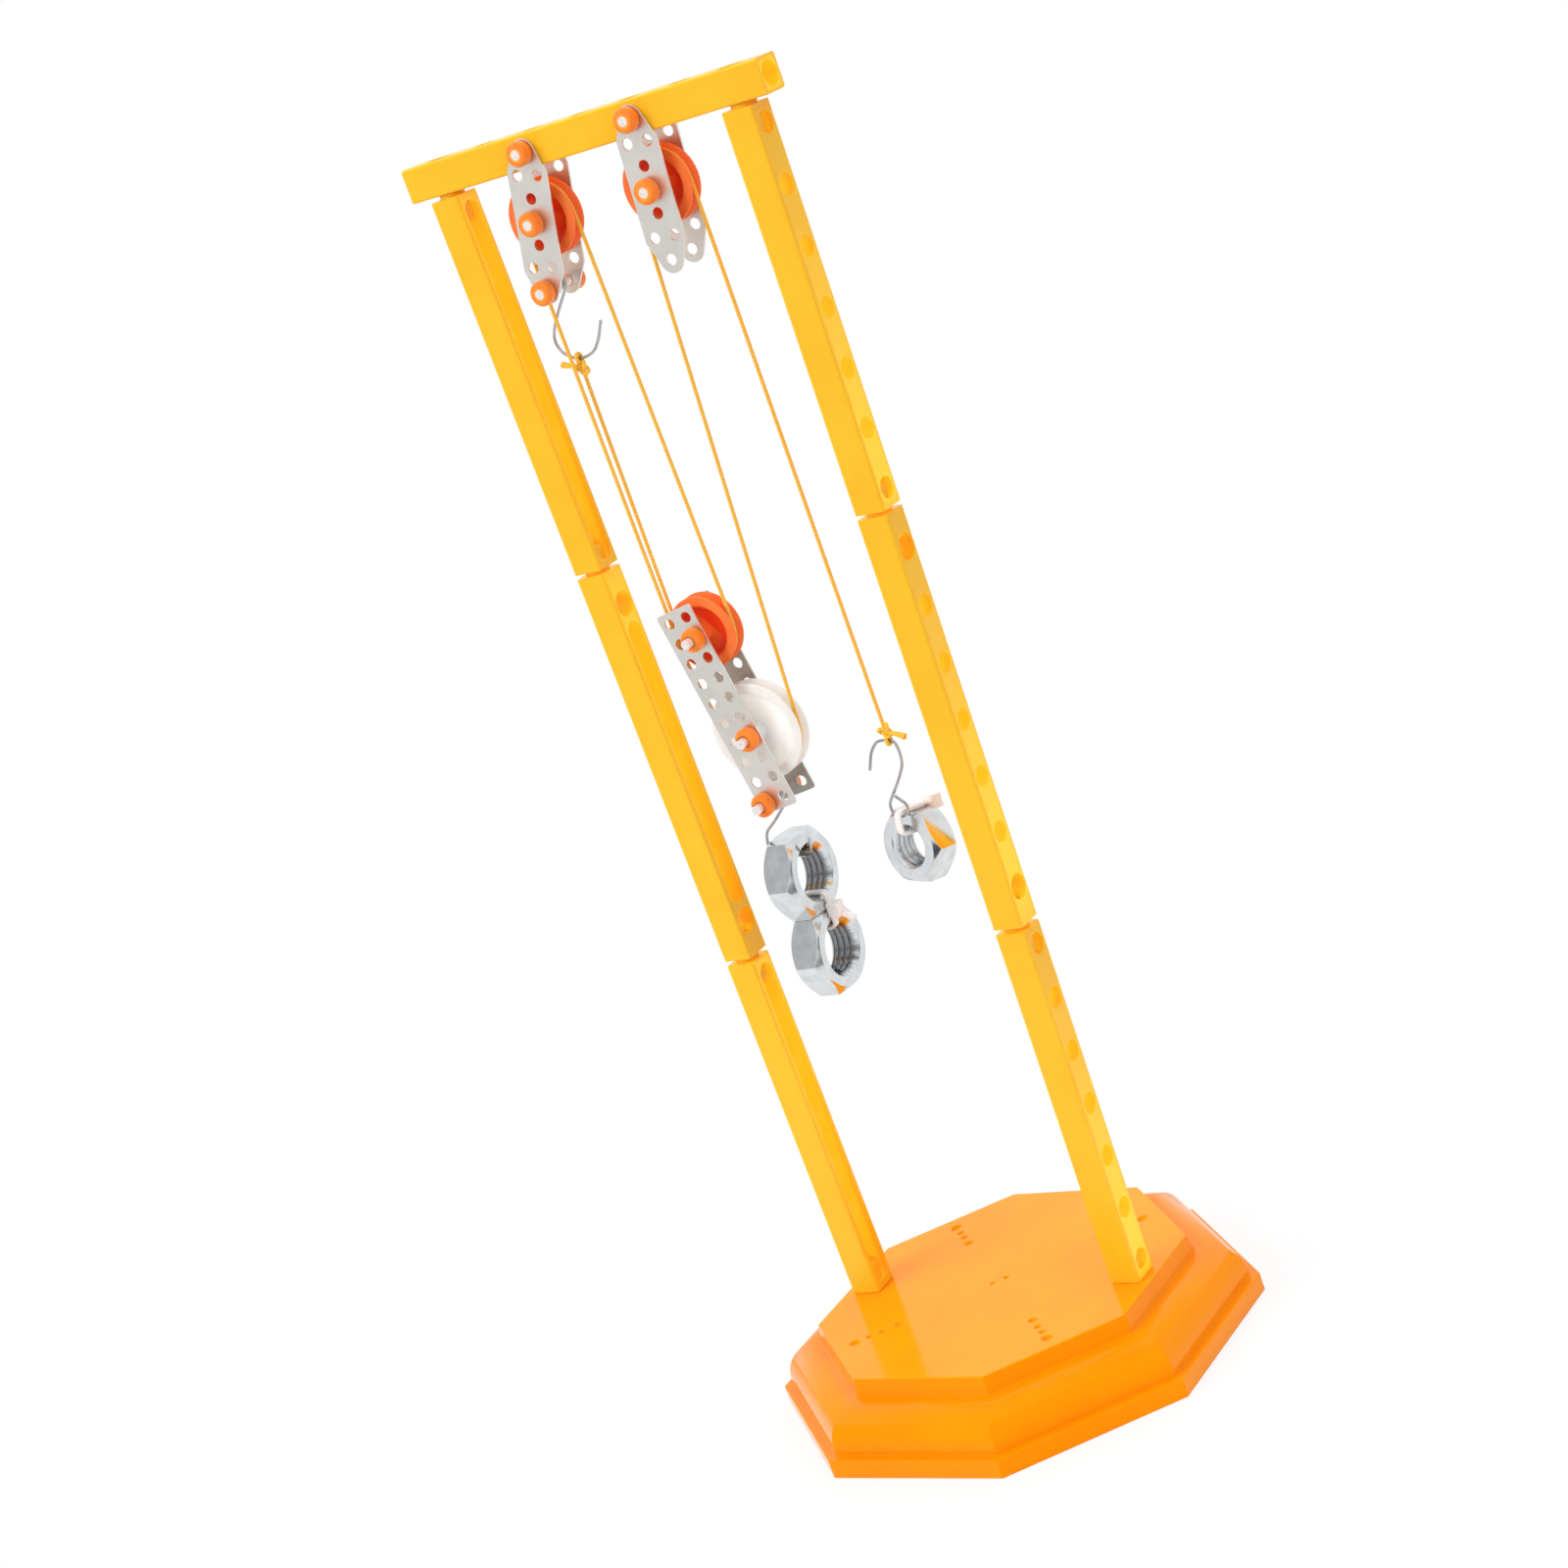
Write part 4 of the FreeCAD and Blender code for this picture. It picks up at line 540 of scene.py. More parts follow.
# Bright zinc nuts; their threads are painted a darker grey as painted shade.
NUT_ZINC = PlatedSteel(
    "nut_bright_zinc", "#E0E3E5", "#CED2D4", roughness=0.12, rough_spread=0.06, cloud_mm=5.0,
    line_mm=0.35, line_height_mm=0.0012, recess="#808386",
)
# The second colour of each yarn is the painted shade between its fibres.
CORD_YARN = Yarn("cord_braided_yarn", "#FFC84C", "#F8AE30")
# Where it is knotted and loose, the yarn opens and looks paler.
KNOT_YARN = Yarn("cord_opened_yarn", "#FFCE40", "#FBB828")


# ---- pieces from CAD nodes
@dataclass
class Edging:
    """Rounding that the mould or the press leaves on a CAD node's sharp edges."""

    radius_mm: float
    segments: int = 2
    sharp_degrees: float = 32.0
    flat_degrees: float = 0.8
    smooth_degrees: float = 38.0
    merge_within_mm: float = 0.002

    def soften(self, node: str) -> Piece:
        """Copy a CAD node, merge its loose triangles and round its sharp edges.

        Args:
            node: Name of the CAD node, which the copy replaces.

        Returns:
            The new piece, riding on the node's body.
        """
        source = frame["nodes"][node]
        piece = add_object(f"{node}_finished", source.data.copy())
        select_only(piece)
        if piece.data.has_custom_normals:
            bpy.ops.mesh.customdata_custom_splitnormals_clear()
        bpy.ops.object.mode_set(mode="EDIT")
        bpy.ops.mesh.select_all(action="SELECT")
        bpy.ops.mesh.remove_doubles(threshold=self.merge_within_mm * MM)
        bpy.ops.mesh.dissolve_limited(angle_limit=math.radians(self.flat_degrees))
        bpy.ops.mesh.normals_make_consistent(inside=False)
        bpy.ops.object.mode_set(mode="OBJECT")
        apply_modifier(
            piece, "BEVEL", width=self.radius_mm * MM, segments=self.segments,
            limit_method="ANGLE", angle_limit=math.radians(self.sharp_degrees),
            use_clamp_overlap=False, miter_outer="MITER_ARC",
        )
        bpy.ops.object.shade_smooth_by_angle(angle=math.radians(self.smooth_degrees))
        apply_modifier(piece, "WEIGHTED_NORMAL", keep_sharp=True, weight=50)
        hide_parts(node)
        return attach(piece, source["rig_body"])


def mark_depth(piece: Piece, depths: Iterable[float]) -> None:
    """Store on a piece's points how deep they lie in its recesses, from 0 to 1.

    Args:
        piece: Piece that gets the attribute.
        depths: One value for each point, cut to the range here.
    """
    layer = piece.data.attributes.new(RECESS, "FLOAT", "POINT")
    for slot, depth in zip(layer.data, depths):
        slot.value = min(max(depth, 0.0), 1.0)


@dataclass
class Dressing:
    """One finish and edging for a group of CAD nodes."""

    finish: Finish
    nodes: Sequence[str]
    edging: Edging | None = None

    def apply(self) -> dict[str, Piece]:
        """Dress the nodes, as softened copies where there is an edging.

        Returns:
            Name of each node to the piece that shows.
        """
        pieces = {}
        for node in self.nodes:
            piece = self.edging.soften(node) if self.edging else frame["nodes"][node]
            self.finish.dress(piece)
            pieces[node] = piece
            LOG.info("dressed %s with %s", piece.name, self.finish.name)
        return pieces


@dataclass
class PostFrame:
    """Octagonal base, two posts of three beams, crossbar and connecting pegs."""

    base_edge_mm: float = 0.5
    beam_edge_mm: float = 0.2
    recess_blur_mm: float = 1.5
    table_mm: float = 52.0
    # The flat table gets painted light too: the share of a slot's painted paleness and glow that
    # it is given, down to this share of the blur below it.
    table_painted_light: float = 0.17
    table_skin: float = 0.05
    sides: Sequence[str] = ("left", "right")
    levels: Sequence[str] = ("lower", "middle", "upper")

    def build(self) -> None:
        """Make and dress the frame's pieces."""
        dressed = Dressing(BASE_ABS, ["base_plinth"], Edging(self.base_edge_mm, 3)).apply()
        self.mark_table(dressed["base_plinth"])
        beams = [f"{side}_post_{level}_beam" for side in self.sides for level in self.levels]
        dressed = Dressing(BEAM_ABS, [*beams, "crossbar_beam"], Edging(self.beam_edge_mm)).apply()
        for node, beam in dressed.items():
            self.mark_inside(node, beam, (1, 2) if node == "crossbar_beam" else (0, 1))
        Dressing(PEG_ABS, [f"{side}_post_pegs" for side in self.sides]).apply()

    def mark_table(self, base: Piece) -> None:
        """Mark the points of the base's slots, and more weakly those of its flat table.

        Args:
            base: Piece that gets the attribute.
        """
        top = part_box("base_plinth")[1][2]
        depths = []
        for point in base.data.vertices:
            below = (top - point.co.z) / (self.recess_blur_mm * MM)
            # Painted light: points at the top are painted a little paler, with a weak painted
            # glow.
            pale = self.table_painted_light if below < self.table_skin else 0.0
            on_table = max(abs(point.co.x), abs(point.co.y)) < self.table_mm * MM
            depths.append(max(below, pale) if on_table else pale)
        mark_depth(base, depths)

    def mark_inside(self, node: str, beam: Piece, across: tuple[int, int]) -> None:
        """Mark the points of a beam's holes and slots by their depth below its faces.

        Args:
            node: CAD node of the beam, whose box gives its faces.
            beam: Piece that gets the attribute.
            across: Numbers of the two axes across the beam.
        """
        # The marked holes and slots are painted paler and given a painted glow.
        low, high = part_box(node)
        mark_depth(beam, [
            (min(min(point.co[axis] - low[axis], high[axis] - point.co[axis]) for axis in across)
             - self.beam_edge_mm * MM) / (self.recess_blur_mm * MM)
            for point in beam.data.vertices
        ])


@dataclass
class PulleyBlocks:
    """Strips, pins, collars and wheels of the two hanging blocks and the load block."""

    strip_edge_mm: float = 0.12
    pin_edge_mm: float = 0.25
    collar_edge_mm: float = 0.35
    wheel_edge_mm: float = 0.22
    blocks: Sequence[str] = ("left_block", "right_block", "load_block")
    # This strip gets the copy with painted shade.
    shaded_strip: str = "load_block_back_plate"
    pins: Sequence[str] = (
        "left_block_hanger_pin", "left_block_axle", "left_block_becket_pin",
        "right_block_hanger_pin", "right_block_axle",
        "load_block_upper_axle", "load_block_lower_axle", "load_block_hook_pin",
    )
    orange_wheels: Sequence[str] = ("left_block_wheel", "right_block_wheel", "upper_load_wheel")
    wheel_half_width_mm: float = 3.0
    hub_reach_mm: float = 3.6
    flange_height_mm: float = 3.0
    recess_blur_mm: float = 1.2
    bore_mm: float = 5.0
    bore_blur_mm: float = 0.3

    def build(self) -> None:
        """Make and dress the blocks' pieces."""
        strips = [f"{block}_{face}_plate" for block in self.blocks for face in ("front", "back")]
        strips.remove(self.shaded_strip)
        Dressing(STRIP_ZINC, strips, Edging(self.strip_edge_mm, 1)).apply()
        Dressing(STRIP_SHADED, [self.shaded_strip], Edging(self.strip_edge_mm, 1)).apply()
        Dressing(PIN_STEEL, self.pins, Edging(self.pin_edge_mm)).apply()
        collars = [f"{block}_collars" for block in self.blocks]
        dressed = Dressing(COLLAR_VINYL, collars, Edging(self.collar_edge_mm, 3)).apply()
        for piece in dressed.values():
            self.mark_bores(piece)
        for finish, wheels in (
            (WHEEL_ORANGE, self.orange_wheels), (WHEEL_NYLON, ["lower_load_wheel"]),
        ):
            dressed = Dressing(finish, wheels, Edging(self.wheel_edge_mm, 3)).apply()
            for node, wheel in dressed.items():
                self.mark_recess(node, wheel)

    def mark_bores(self, collars: Piece) -> None:
        """Mark the collars' bores, painted with a glow for the light that shines through.

        Args:
            collars: Piece with the collars of one block.
        """
        centres = [(Vector(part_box(pin)[0]) + Vector(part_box(pin)[1])) / 2 for pin in self.pins]
        depths = []
        for point in collars.data.vertices:
            off = min(math.hypot(point.co.x - c.x, point.co.z - c.z) for c in centres)
            depths.append(1.0 + (self.bore_mm / 2 - off / MM) / self.bore_blur_mm)
        mark_depth(collars, depths)

    def mark_recess(self, node: str, wheel: Piece) -> None:
        """Store on a wheel's points how deep they lie in the recess of its sides.

        Args:
            node: CAD node of the wheel, whose box gives the axis.
            wheel: Piece that gets the attribute.
        """
        # The marked points get painted shade on the orange wheels and a painted glow on every
        # wheel.
        low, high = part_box(node)
        middle_x, middle_z = (low[0] + high[0]) / 2, (low[2] + high[2]) / 2
        rim = (high[0] - low[0]) / 2
        depths = []
        for point in wheel.data.vertices:
            radius = math.hypot(point.co.x - middle_x, point.co.z - middle_z)
            below = (self.wheel_half_width_mm * MM - abs(point.co.y)) / (self.recess_blur_mm * MM)
            inside = self.hub_reach_mm * MM < radius < rim - self.flange_height_mm * MM
            depths.append(below if inside else 0.0)
        mark_depth(wheel, depths)


@dataclass(frozen=True)
class Thread:
    """Thread of a nut, between its countersinks.

    Its thread is painted darker as painted shade, by a share from 0 to 1.
    """

    axis: Point
    width_mm: float
    length_mm: float
    thread_shade: float
    past_root_mm: float = 0.15
    short_of_end_mm: float = 0.05

    def mark(self, node: str, nut: Piece) -> None:
        """Mark the points of a nut's thread, which are painted darker as painted shade.

        Args:
            node: CAD node of the nut, whose box gives the centre.
            nut: Piece that gets the attribute.
        """
        centre = (Vector(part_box(node)[0]) + Vector(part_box(node)[1])) / 2
        along = Vector(self.axis).normalized()
        root = self.width_mm / 2 + self.past_root_mm
        end = self.length_mm / 2 - self.short_of_end_mm
        depths = []
        for point in nut.data.vertices:
            arm = (point.co - centre) / MM
            inside = arm.cross(along).length < root and abs(arm.dot(along)) < end
            depths.append(self.thread_shade if inside else 0.0)
        mark_depth(nut, depths)


@dataclass
class Weights:
    """Hexagon nuts with their hooks and cable ties."""

    nut_edge_mm: float = 0.16
    chamfer_degrees: float = 22.0
    # Painted shade in the threads: full on the load nuts, weaker on the effort nut.
    load_thread: Thread = Thread((1.0, 0.0, 0.0), 19.6, 10.0, thread_shade=1.0)
    effort_thread: Thread = Thread((0.25, 0.95, -0.18), 15.0, 9.6, thread_shade=0.3)
    nuts: Sequence[str] = ("upper_load_nut", "lower_load_nut", "effort_nut")
    ties: Sequence[str] = ("load_nut_tie", "effort_nut_tie")
    hooks: Sequence[str] = ("anchor_hook", "load_hook", "effort_hook")

    def build(self) -> None:
        """Make and dress the weights' pieces."""
        edging = Edging(
            self.nut_edge_mm, sharp_degrees=self.chamfer_degrees,
            smooth_degrees=self.chamfer_degrees,
        )
        for node, nut in Dressing(NUT_ZINC, self.nuts, edging).apply().items():
            thread = self.effort_thread if node == "effort_nut" else self.load_thread
            thread.mark(node, nut)
        Dressing(TIE_NYLON, self.ties).apply()
        Dressing(HOOK_WIRE, self.hooks).apply()


# ---- cord
def nurbs_path(points: Iterable[Point], closed: bool = False) -> np.ndarray:
    """Read the points of a smooth line that has the given control points.

    Args:
        points: Control points, in millimetres.
        closed: Whether the line ends where it starts.

    Returns:
        Points along the line, in metres, one row each.
    """
    controls = [Vector(point) * MM for point in points]
    curve = bpy.data.curves.new("route", "CURVE")
    curve.dimensions = "3D"
    spline = curve.splines.new("NURBS")
    spline.points.add(len(controls) - 1)
    for number, control in enumerate(controls):
        spline.points[number].co = (*control, 1.0)
    spline.use_cyclic_u = closed
    spline.order_u = 3
    spline.use_endpoint_u = not closed
    spline.resolution_u = 32
    holder = add_object("route", curve)
    bpy.context.view_layer.update()
    mesh = bpy.data.meshes.new_from_object(holder)
    line = np.array([vertex.co for vertex in mesh.vertices])
    bpy.data.objects.remove(holder)
    bpy.data.curves.remove(curve)
    bpy.data.meshes.remove(mesh)
    return np.vstack([line, line[:1]]) if closed else line


@dataclass(frozen=True)
class Braid:
    """Round braid of yarns that wind both ways and pass over and under each other.

    "yarn_share" is a yarn's thickness as a share of the cord's diameter, "flatness" how much
    wider it is than thick, and "flare" how far a loose end opens towards its tip.
    """

    diameter_mm: float = 1.5
    pitch_mm: float = 6.0
    yarns_each_way: int = 4
    step_mm: float = 0.25
    sides: int = 6
    weave_mm: float = 0.1
    yarn_share: float = 0.4
    flatness: float = 1.35
    flare: float = 0.0
    fibre_shift_mm: float = 7.3

    def stations(self, line: np.ndarray) -> tuple[np.ndarray, np.ndarray, np.ndarray, np.ndarray]:
        """Walk the line in even steps, carrying a pair of cross directions along.

        Args:
            line: Points of the centreline, in metres.

        Returns:
            Distances from the start, places and the two cross directions.
        """
        lengths = np.linalg.norm(np.diff(line, axis=0), axis=1)
        reach = np.concatenate([[0.0], np.cumsum(lengths)])
        count = max(4, int(reach[-1] / (self.step_mm * MM)))
        along = np.linspace(0.0, reach[-1], count + 1)
        places = np.stack([np.interp(along, reach, line[:, axis]) for axis in range(3)], axis=1)
        forward = np.gradient(places, axis=0)
        forward /= np.linalg.norm(forward, axis=1)[:, None]
        across = np.zeros_like(places)
        side = np.cross(forward[0], (0.0, 1.0, 0.0))
        if np.linalg.norm(side) < 0.1:
            side = np.cross(forward[0], (1.0, 0.0, 0.0))
        for number, direction in enumerate(forward):
            side = side - direction * np.dot(side, direction)
            side /= np.linalg.norm(side)
            across[number] = side
        return along, places, across, np.cross(forward, across)

    def build(self, name: str, line: np.ndarray, start: float = 0.0) -> Piece:
        """Braid the yarns around a line.

        Args:
            name: Name of the piece.
            line: Points of the centreline, in metres.
            start: Distance along the whole cord at the line's first point, in metres.

        Returns:
            The mesh object, with a map along and around each yarn.
        """
        along, places, across, up = self.stations(line)
        opened = 1.0 + self.flare * (along / along[-1]) ** 2
        radius = self.diameter_mm * MM / 2
        yarn = radius * self.yarn_share
        middle = (radius - yarn - self.weave_mm * MM) * opened
        turn = 2 * math.pi * (along + start) / (self.pitch_mm * MM)
        weave = self.weave_mm * MM * np.cos(self.yarns_each_way * turn)
        around = np.linspace(0.0, 2 * math.pi, self.sides, endpoint=False)
        points, faces, map_points = [], [], []
        for way in (1, -1):
            for number in range(self.yarns_each_way):
                angle = way * turn + number * 2 * math.pi / self.yarns_each_way
                out = across * np.cos(angle)[:, None] + up * np.sin(angle)[:, None]
                centre = places + out * (middle + way * weave)[:, None]
                forward = np.gradient(centre, axis=0)
                forward /= np.linalg.norm(forward, axis=1)[:, None]
                flat = np.cross(forward, out)
                first = len(points) * len(along) * self.sides
                ring = (
                    centre[:, None, :]
                    + out[:, None, :] * (yarn * np.cos(around))[None, :, None]
                    + flat[:, None, :] * (self.flatness * yarn * np.sin(around))[None, :, None]
                )
                points.append(ring.reshape(-1, 3))
                faces.append(self.skin(len(along), first))
                map_points.append(self.unrolled(along, number))
        mesh = bpy.data.meshes.new(name)
        mesh.from_pydata(np.vstack(points), [], np.vstack(faces).tolist())
        layer = mesh.uv_layers.new(name="yarn")
        layer.data.foreach_set("uv", np.vstack(map_points).astype(np.float32).ravel())
        mesh.polygons.foreach_set("use_smooth", [True] * len(mesh.polygons))
        piece = add_object(name, mesh)
        self.close_ends(piece)
        return piece

    def skin(self, count: int, first: int) -> np.ndarray:
        """Quads between the rings of one yarn.

        Args:
            count: Number of rings.
            first: Number of the yarn's first point.

        Returns:
            One row of four point numbers per quad.
        """
        ring, side = np.meshgrid(np.arange(count - 1), np.arange(self.sides), indexing="ij")
        following = (side + 1) % self.sides
        near, far = ring * self.sides, (ring + 1) * self.sides
        corners = [near + side, near + following, far + following, far + side]
        return first + np.stack([corner.ravel() for corner in corners], axis=1)

    def unrolled(self, along: np.ndarray, number: int) -> np.ndarray:
        """Map points of one yarn's quads: millimetres along, and share around.

        Args:
            along: Distance of each ring, in metres.
            number: Number of the yarn, which shifts its fibres.

        Returns:
            Two columns, four rows per quad.
        """
        ring, side = np.meshgrid(np.arange(len(along) - 1), np.arange(self.sides), indexing="ij")
        shift = self.fibre_shift_mm * number
        low, high = along[ring] / MM + shift, along[ring + 1] / MM + shift
        near, far = side / self.sides, (side + 1) / self.sides
        corners = [(low, near), (low, far), (high, far), (high, near)]
        stacked = [np.stack([x.ravel(), y.ravel()], axis=1) for x, y in corners]
        return np.stack(stacked, axis=1).reshape(-1, 2)

    def close_ends(self, piece: Piece) -> None:
        """Cap the open ends of the yarns.

        Args:
            piece: The braid.
        """
        select_only(piece)
        bpy.ops.object.mode_set(mode="EDIT")
        bpy.ops.mesh.select_all(action="SELECT")
        bpy.ops.mesh.fill_holes(sides=self.sides)
        bpy.ops.mesh.select_all(action="SELECT")
        bpy.ops.mesh.normals_make_consistent(inside=False)
        bpy.ops.object.mode_set(mode="OBJECT")


# Overhand knot drawn tight, as control points in its own size.
KNOT_TURNS: Sequence[Point] = (
    (0.0, -1.0, 0.0), (2.2, -0.1, -1.0), (2.6, 1.5, 0.0), (1.0, 2.0, 1.0),
    (-0.9, 0.5, 0.0), (-1.2, -1.9, -1.0), (0.0, -3.0, 0.0), (1.2, -1.9, 1.0),
    (0.9, 0.5, 0.0), (-1.0, 2.0, -1.0), (-2.6, 1.5, 0.0), (-2.2, -0.1, 1.0),
)


@dataclass
class ReevedCord:
    """The one cord, from the anchor knot over four wheels to the effort knot.

    Its route has the knots, the corners of the cord's polygon around each wheel, one point
    9 mm (6 diameters) from each wheel and knot, and the pass in front of the upper load wheel.
    """

    braid: Braid = Braid()
    loose_end: Braid = Braid(diameter_mm=1.8, weave_mm=0.16, flare=1.1)
    route: Sequence[Point] = (
        (-36.6, 1.0, 395.2), (-36.6, 0.9, 386.2), (-36.1, 0.0, 303.0),
        (-36.0, 0.0, 289.1), (-29.0, 0.0, 282.2), (-19.1, 0.0, 282.3), (-12.3, 0.0, 289.4),
        (-12.6, 0.0, 303.3), (-16.0, 0.0, 438.8),
        (-16.4, 0.0, 452.7), (-23.5, 0.0, 459.4), (-33.3, 0.0, 459.2), (-40.0, 0.0, 452.0),
        (-39.5, -0.3, 438.1), (-35.2, -4.4, 309.6), (-34.0, -4.4, 280.9), (-33.2, 0.0, 261.8),
        (-33.0, 0.0, 247.9), (-23.7, 0.0, 238.5), (-10.4, 0.0, 238.2), (-0.7, 0.0, 247.3),
        (0.1, 0.0, 262.9), (9.6, 0.0, 438.6),
        (10.3, 0.0, 452.4), (17.3, 0.0, 458.9), (26.9, 0.0, 458.6), (33.6, 0.0, 451.8),
        (33.6, 0.0, 438.0), (33.6, 0.0, 255.1), (33.6, 0.0, 246.1),
    )
    # Where the cord meets and leaves each wheel, in order.
    touches: Sequence[Point] = (
        (-36.0, 0.0, 294.0), (-12.4, 0.0, 294.3), (-16.3, 0.0, 447.8), (-39.9, 0.0, 447.1),
        (-33.1, 0.0, 254.6), (-0.3, 0.0, 253.9), (10.0, 0.0, 447.6), (33.6, 0.0, 447.0),
    )
    # Pieces along the route, cut at the touches: runs and wraps take turns.
    pieces: Sequence[str] = (
        "cord_anchor_run", "cord_upper_wrap", "cord_second_run", "cord_left_wrap",
        "cord_front_run", "cord_lower_wrap", "cord_fourth_run", "cord_right_wrap",
        "cord_effort_run",
    )
    run_margin_mm: float = 4.0
    knot_scale_mm: float = 0.92
    knot_drop_mm: float = 0.7
    loop_offset_mm: float = 2.95
    loop_radius_mm: float = 1.45
    loop_corners: int = 6
    anchor_tail: Sequence[Point] = ((-1.0, 0.6, 0.2), (-5.0, 1.0, 0.4), (-8.8, 1.2, 1.9))
    effort_tail: Sequence[Point] = ((1.0, 0.0, -0.2), (4.4, -0.4, -0.8), (7.6, -0.8, -2.5))

    def build(self) -> None:
        """Make the runs, the wraps around the wheels, and both tied ends."""
        line = nurbs_path(self.route)
        cuts = [0] + [self.nearest(line, touch) for touch in self.touches] + [len(line) - 1]
        steps = np.linalg.norm(np.diff(line, axis=0), axis=1)
        travelled = np.concatenate([[0.0], np.cumsum(steps)])
        spans = dict(zip(self.pieces, zip(cuts, cuts[1:])))
        runs, wraps = self.pieces[::2], self.pieces[1::2]
        pieces = {}
        for name, (first, last) in spans.items():
            pieces[name] = self.braid.build(name, line[first:last + 1], travelled[first])
            self.finish_piece(pieces[name])
        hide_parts("cord")
        for name in runs[:-1]:
            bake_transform(pieces[name])
        for name, body in zip(wraps, ("load_block", "frame", "load_block", "frame")):
            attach(pieces[name], body)
        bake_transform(pieces["cord_effort_run"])
        anchor_end = self.tie_end("anchor", self.route[0], self.anchor_tail, 1.0, "frame")
        effort_end = self.tie_end("effort", self.route[-1], self.effort_tail, -1.0, "effort")
        followers = {run: [pieces[wrap]] for run, wrap in zip(runs, wraps)}
        followers["cord_anchor_run"] = [*anchor_end, pieces["cord_upper_wrap"]]
        followers["cord_effort_run"] = effort_end
        for name, with_pieces in followers.items():
            first, last = spans[name]

    @staticmethod
    def nearest(line: np.ndarray, touch: Point) -> int:
        """Number of the line's point that is nearest to a place in millimetres."""
        return int(np.argmin(np.linalg.norm(line - np.array(touch) * MM, axis=1)))

    def finish_piece(self, piece: Piece, yarn: Yarn = CORD_YARN) -> None:
        """Give a piece of the cord its yarn."""
        yarn.dress(piece)
        LOG.info("made %s, %d faces", piece.name, len(piece.data.polygons))

    def tie_end(
        self, end: str, knot: Point, tail: Sequence[Point], loop_side: float, body: str,
    ) -> list[Piece]:
        """Make the knot, the loop around the hook's wire and the loose tail of one end.

        Args:
            end: Which end, for the names.
            knot: Centre of the knot, in millimetres.
            tail: Points of the tail from the knot's centre, in millimetres.
            loop_side: 1 if the hook is above the knot, -1 if below.
            body: Body that the end rides on.

        Returns:
            The three pieces.
        """
        centre = Vector(knot)
        middle = centre - Vector((0, 0, loop_side * self.knot_drop_mm))
        turns = [middle + Vector((y, z, -x)) * self.knot_scale_mm for x, y, z in KNOT_TURNS]
        loop_centre = centre + Vector((0, 0, loop_side * self.loop_offset_mm))
        corner = self.loop_radius_mm / math.cos(math.pi / self.loop_corners)
        ring = [
            loop_centre + Vector((0, math.cos(angle), math.sin(angle))) * corner
            for angle in np.radians(360 / self.loop_corners * np.arange(self.loop_corners))
        ]
        runs = {
            f"cord_{end}_knot": nurbs_path(turns, closed=True),
            f"cord_{end}_loop": nurbs_path(ring, closed=True),
            f"cord_{end}_tail": nurbs_path([centre + Vector(point) for point in tail]),
        }
        pieces = []
        for name, line in runs.items():
            braid = self.loose_end if name.endswith("tail") else self.braid
            piece = braid.build(name, line)
            self.finish_piece(piece, KNOT_YARN)
            pieces.append(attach(piece, body))
        return pieces


# ---- studio
@dataclass(frozen=True)
class SoftLamp:
    """Square soft lamp; metal mirrors the room in its place."""

    name: str
    place: Point
    watts: float
    size: float = 1.6

    def build(self, aim: Point) -> None:
        """Add the lamp.

        Args:
            aim: Place that it faces, in metres.
        """
        data = bpy.data.lights.new(f"studio_{self.name}", "AREA")
        data.size = self.size
        data.energy = self.watts
        lamp = add_object(f"studio_{self.name}", data)
        lamp.location = self.place
        lamp.visible_glossy = False
        lamp.rotation_mode = "QUATERNION"
        ray = Vector(aim) - Vector(self.place)
        lamp.rotation_quaternion = ray.to_track_quat("-Z", "Y")


@dataclass(frozen=True)
class DimPanel:
    """Dim part of the room that metal mirrors: a soft-edged cone around a direction.

    It is full within the first half angle and ends at the second. "light" is the share of
    the room's light that it leaves.
    """

    towards: Point
    full_degrees: float
    end_degrees: float
    light: float

    def shade(self, tree: Tree, place: Socket) -> Socket:
        """Give the share of light by direction.

        Args:
            tree: Node tree of the world.
            place: Socket with the direction.

        Returns:
            Socket that is 1 away from the panel and "light" within it.
        """
        lean = add_node(tree, "ShaderNodeVectorMath", {
            0: place, 1: Vector(self.towards).normalized(),
        }, operation="DOT_PRODUCT")
        return add_node(tree, "ShaderNodeMapRange", {
            "Value": lean.outputs["Value"],
            "From Min": math.cos(math.radians(self.end_degrees)),
            "From Max": math.cos(math.radians(self.full_degrees)),
            "To Min": 1.0, "To Max": self.light,
        }, interpolation_type="SMOOTHSTEP").outputs["Result"]


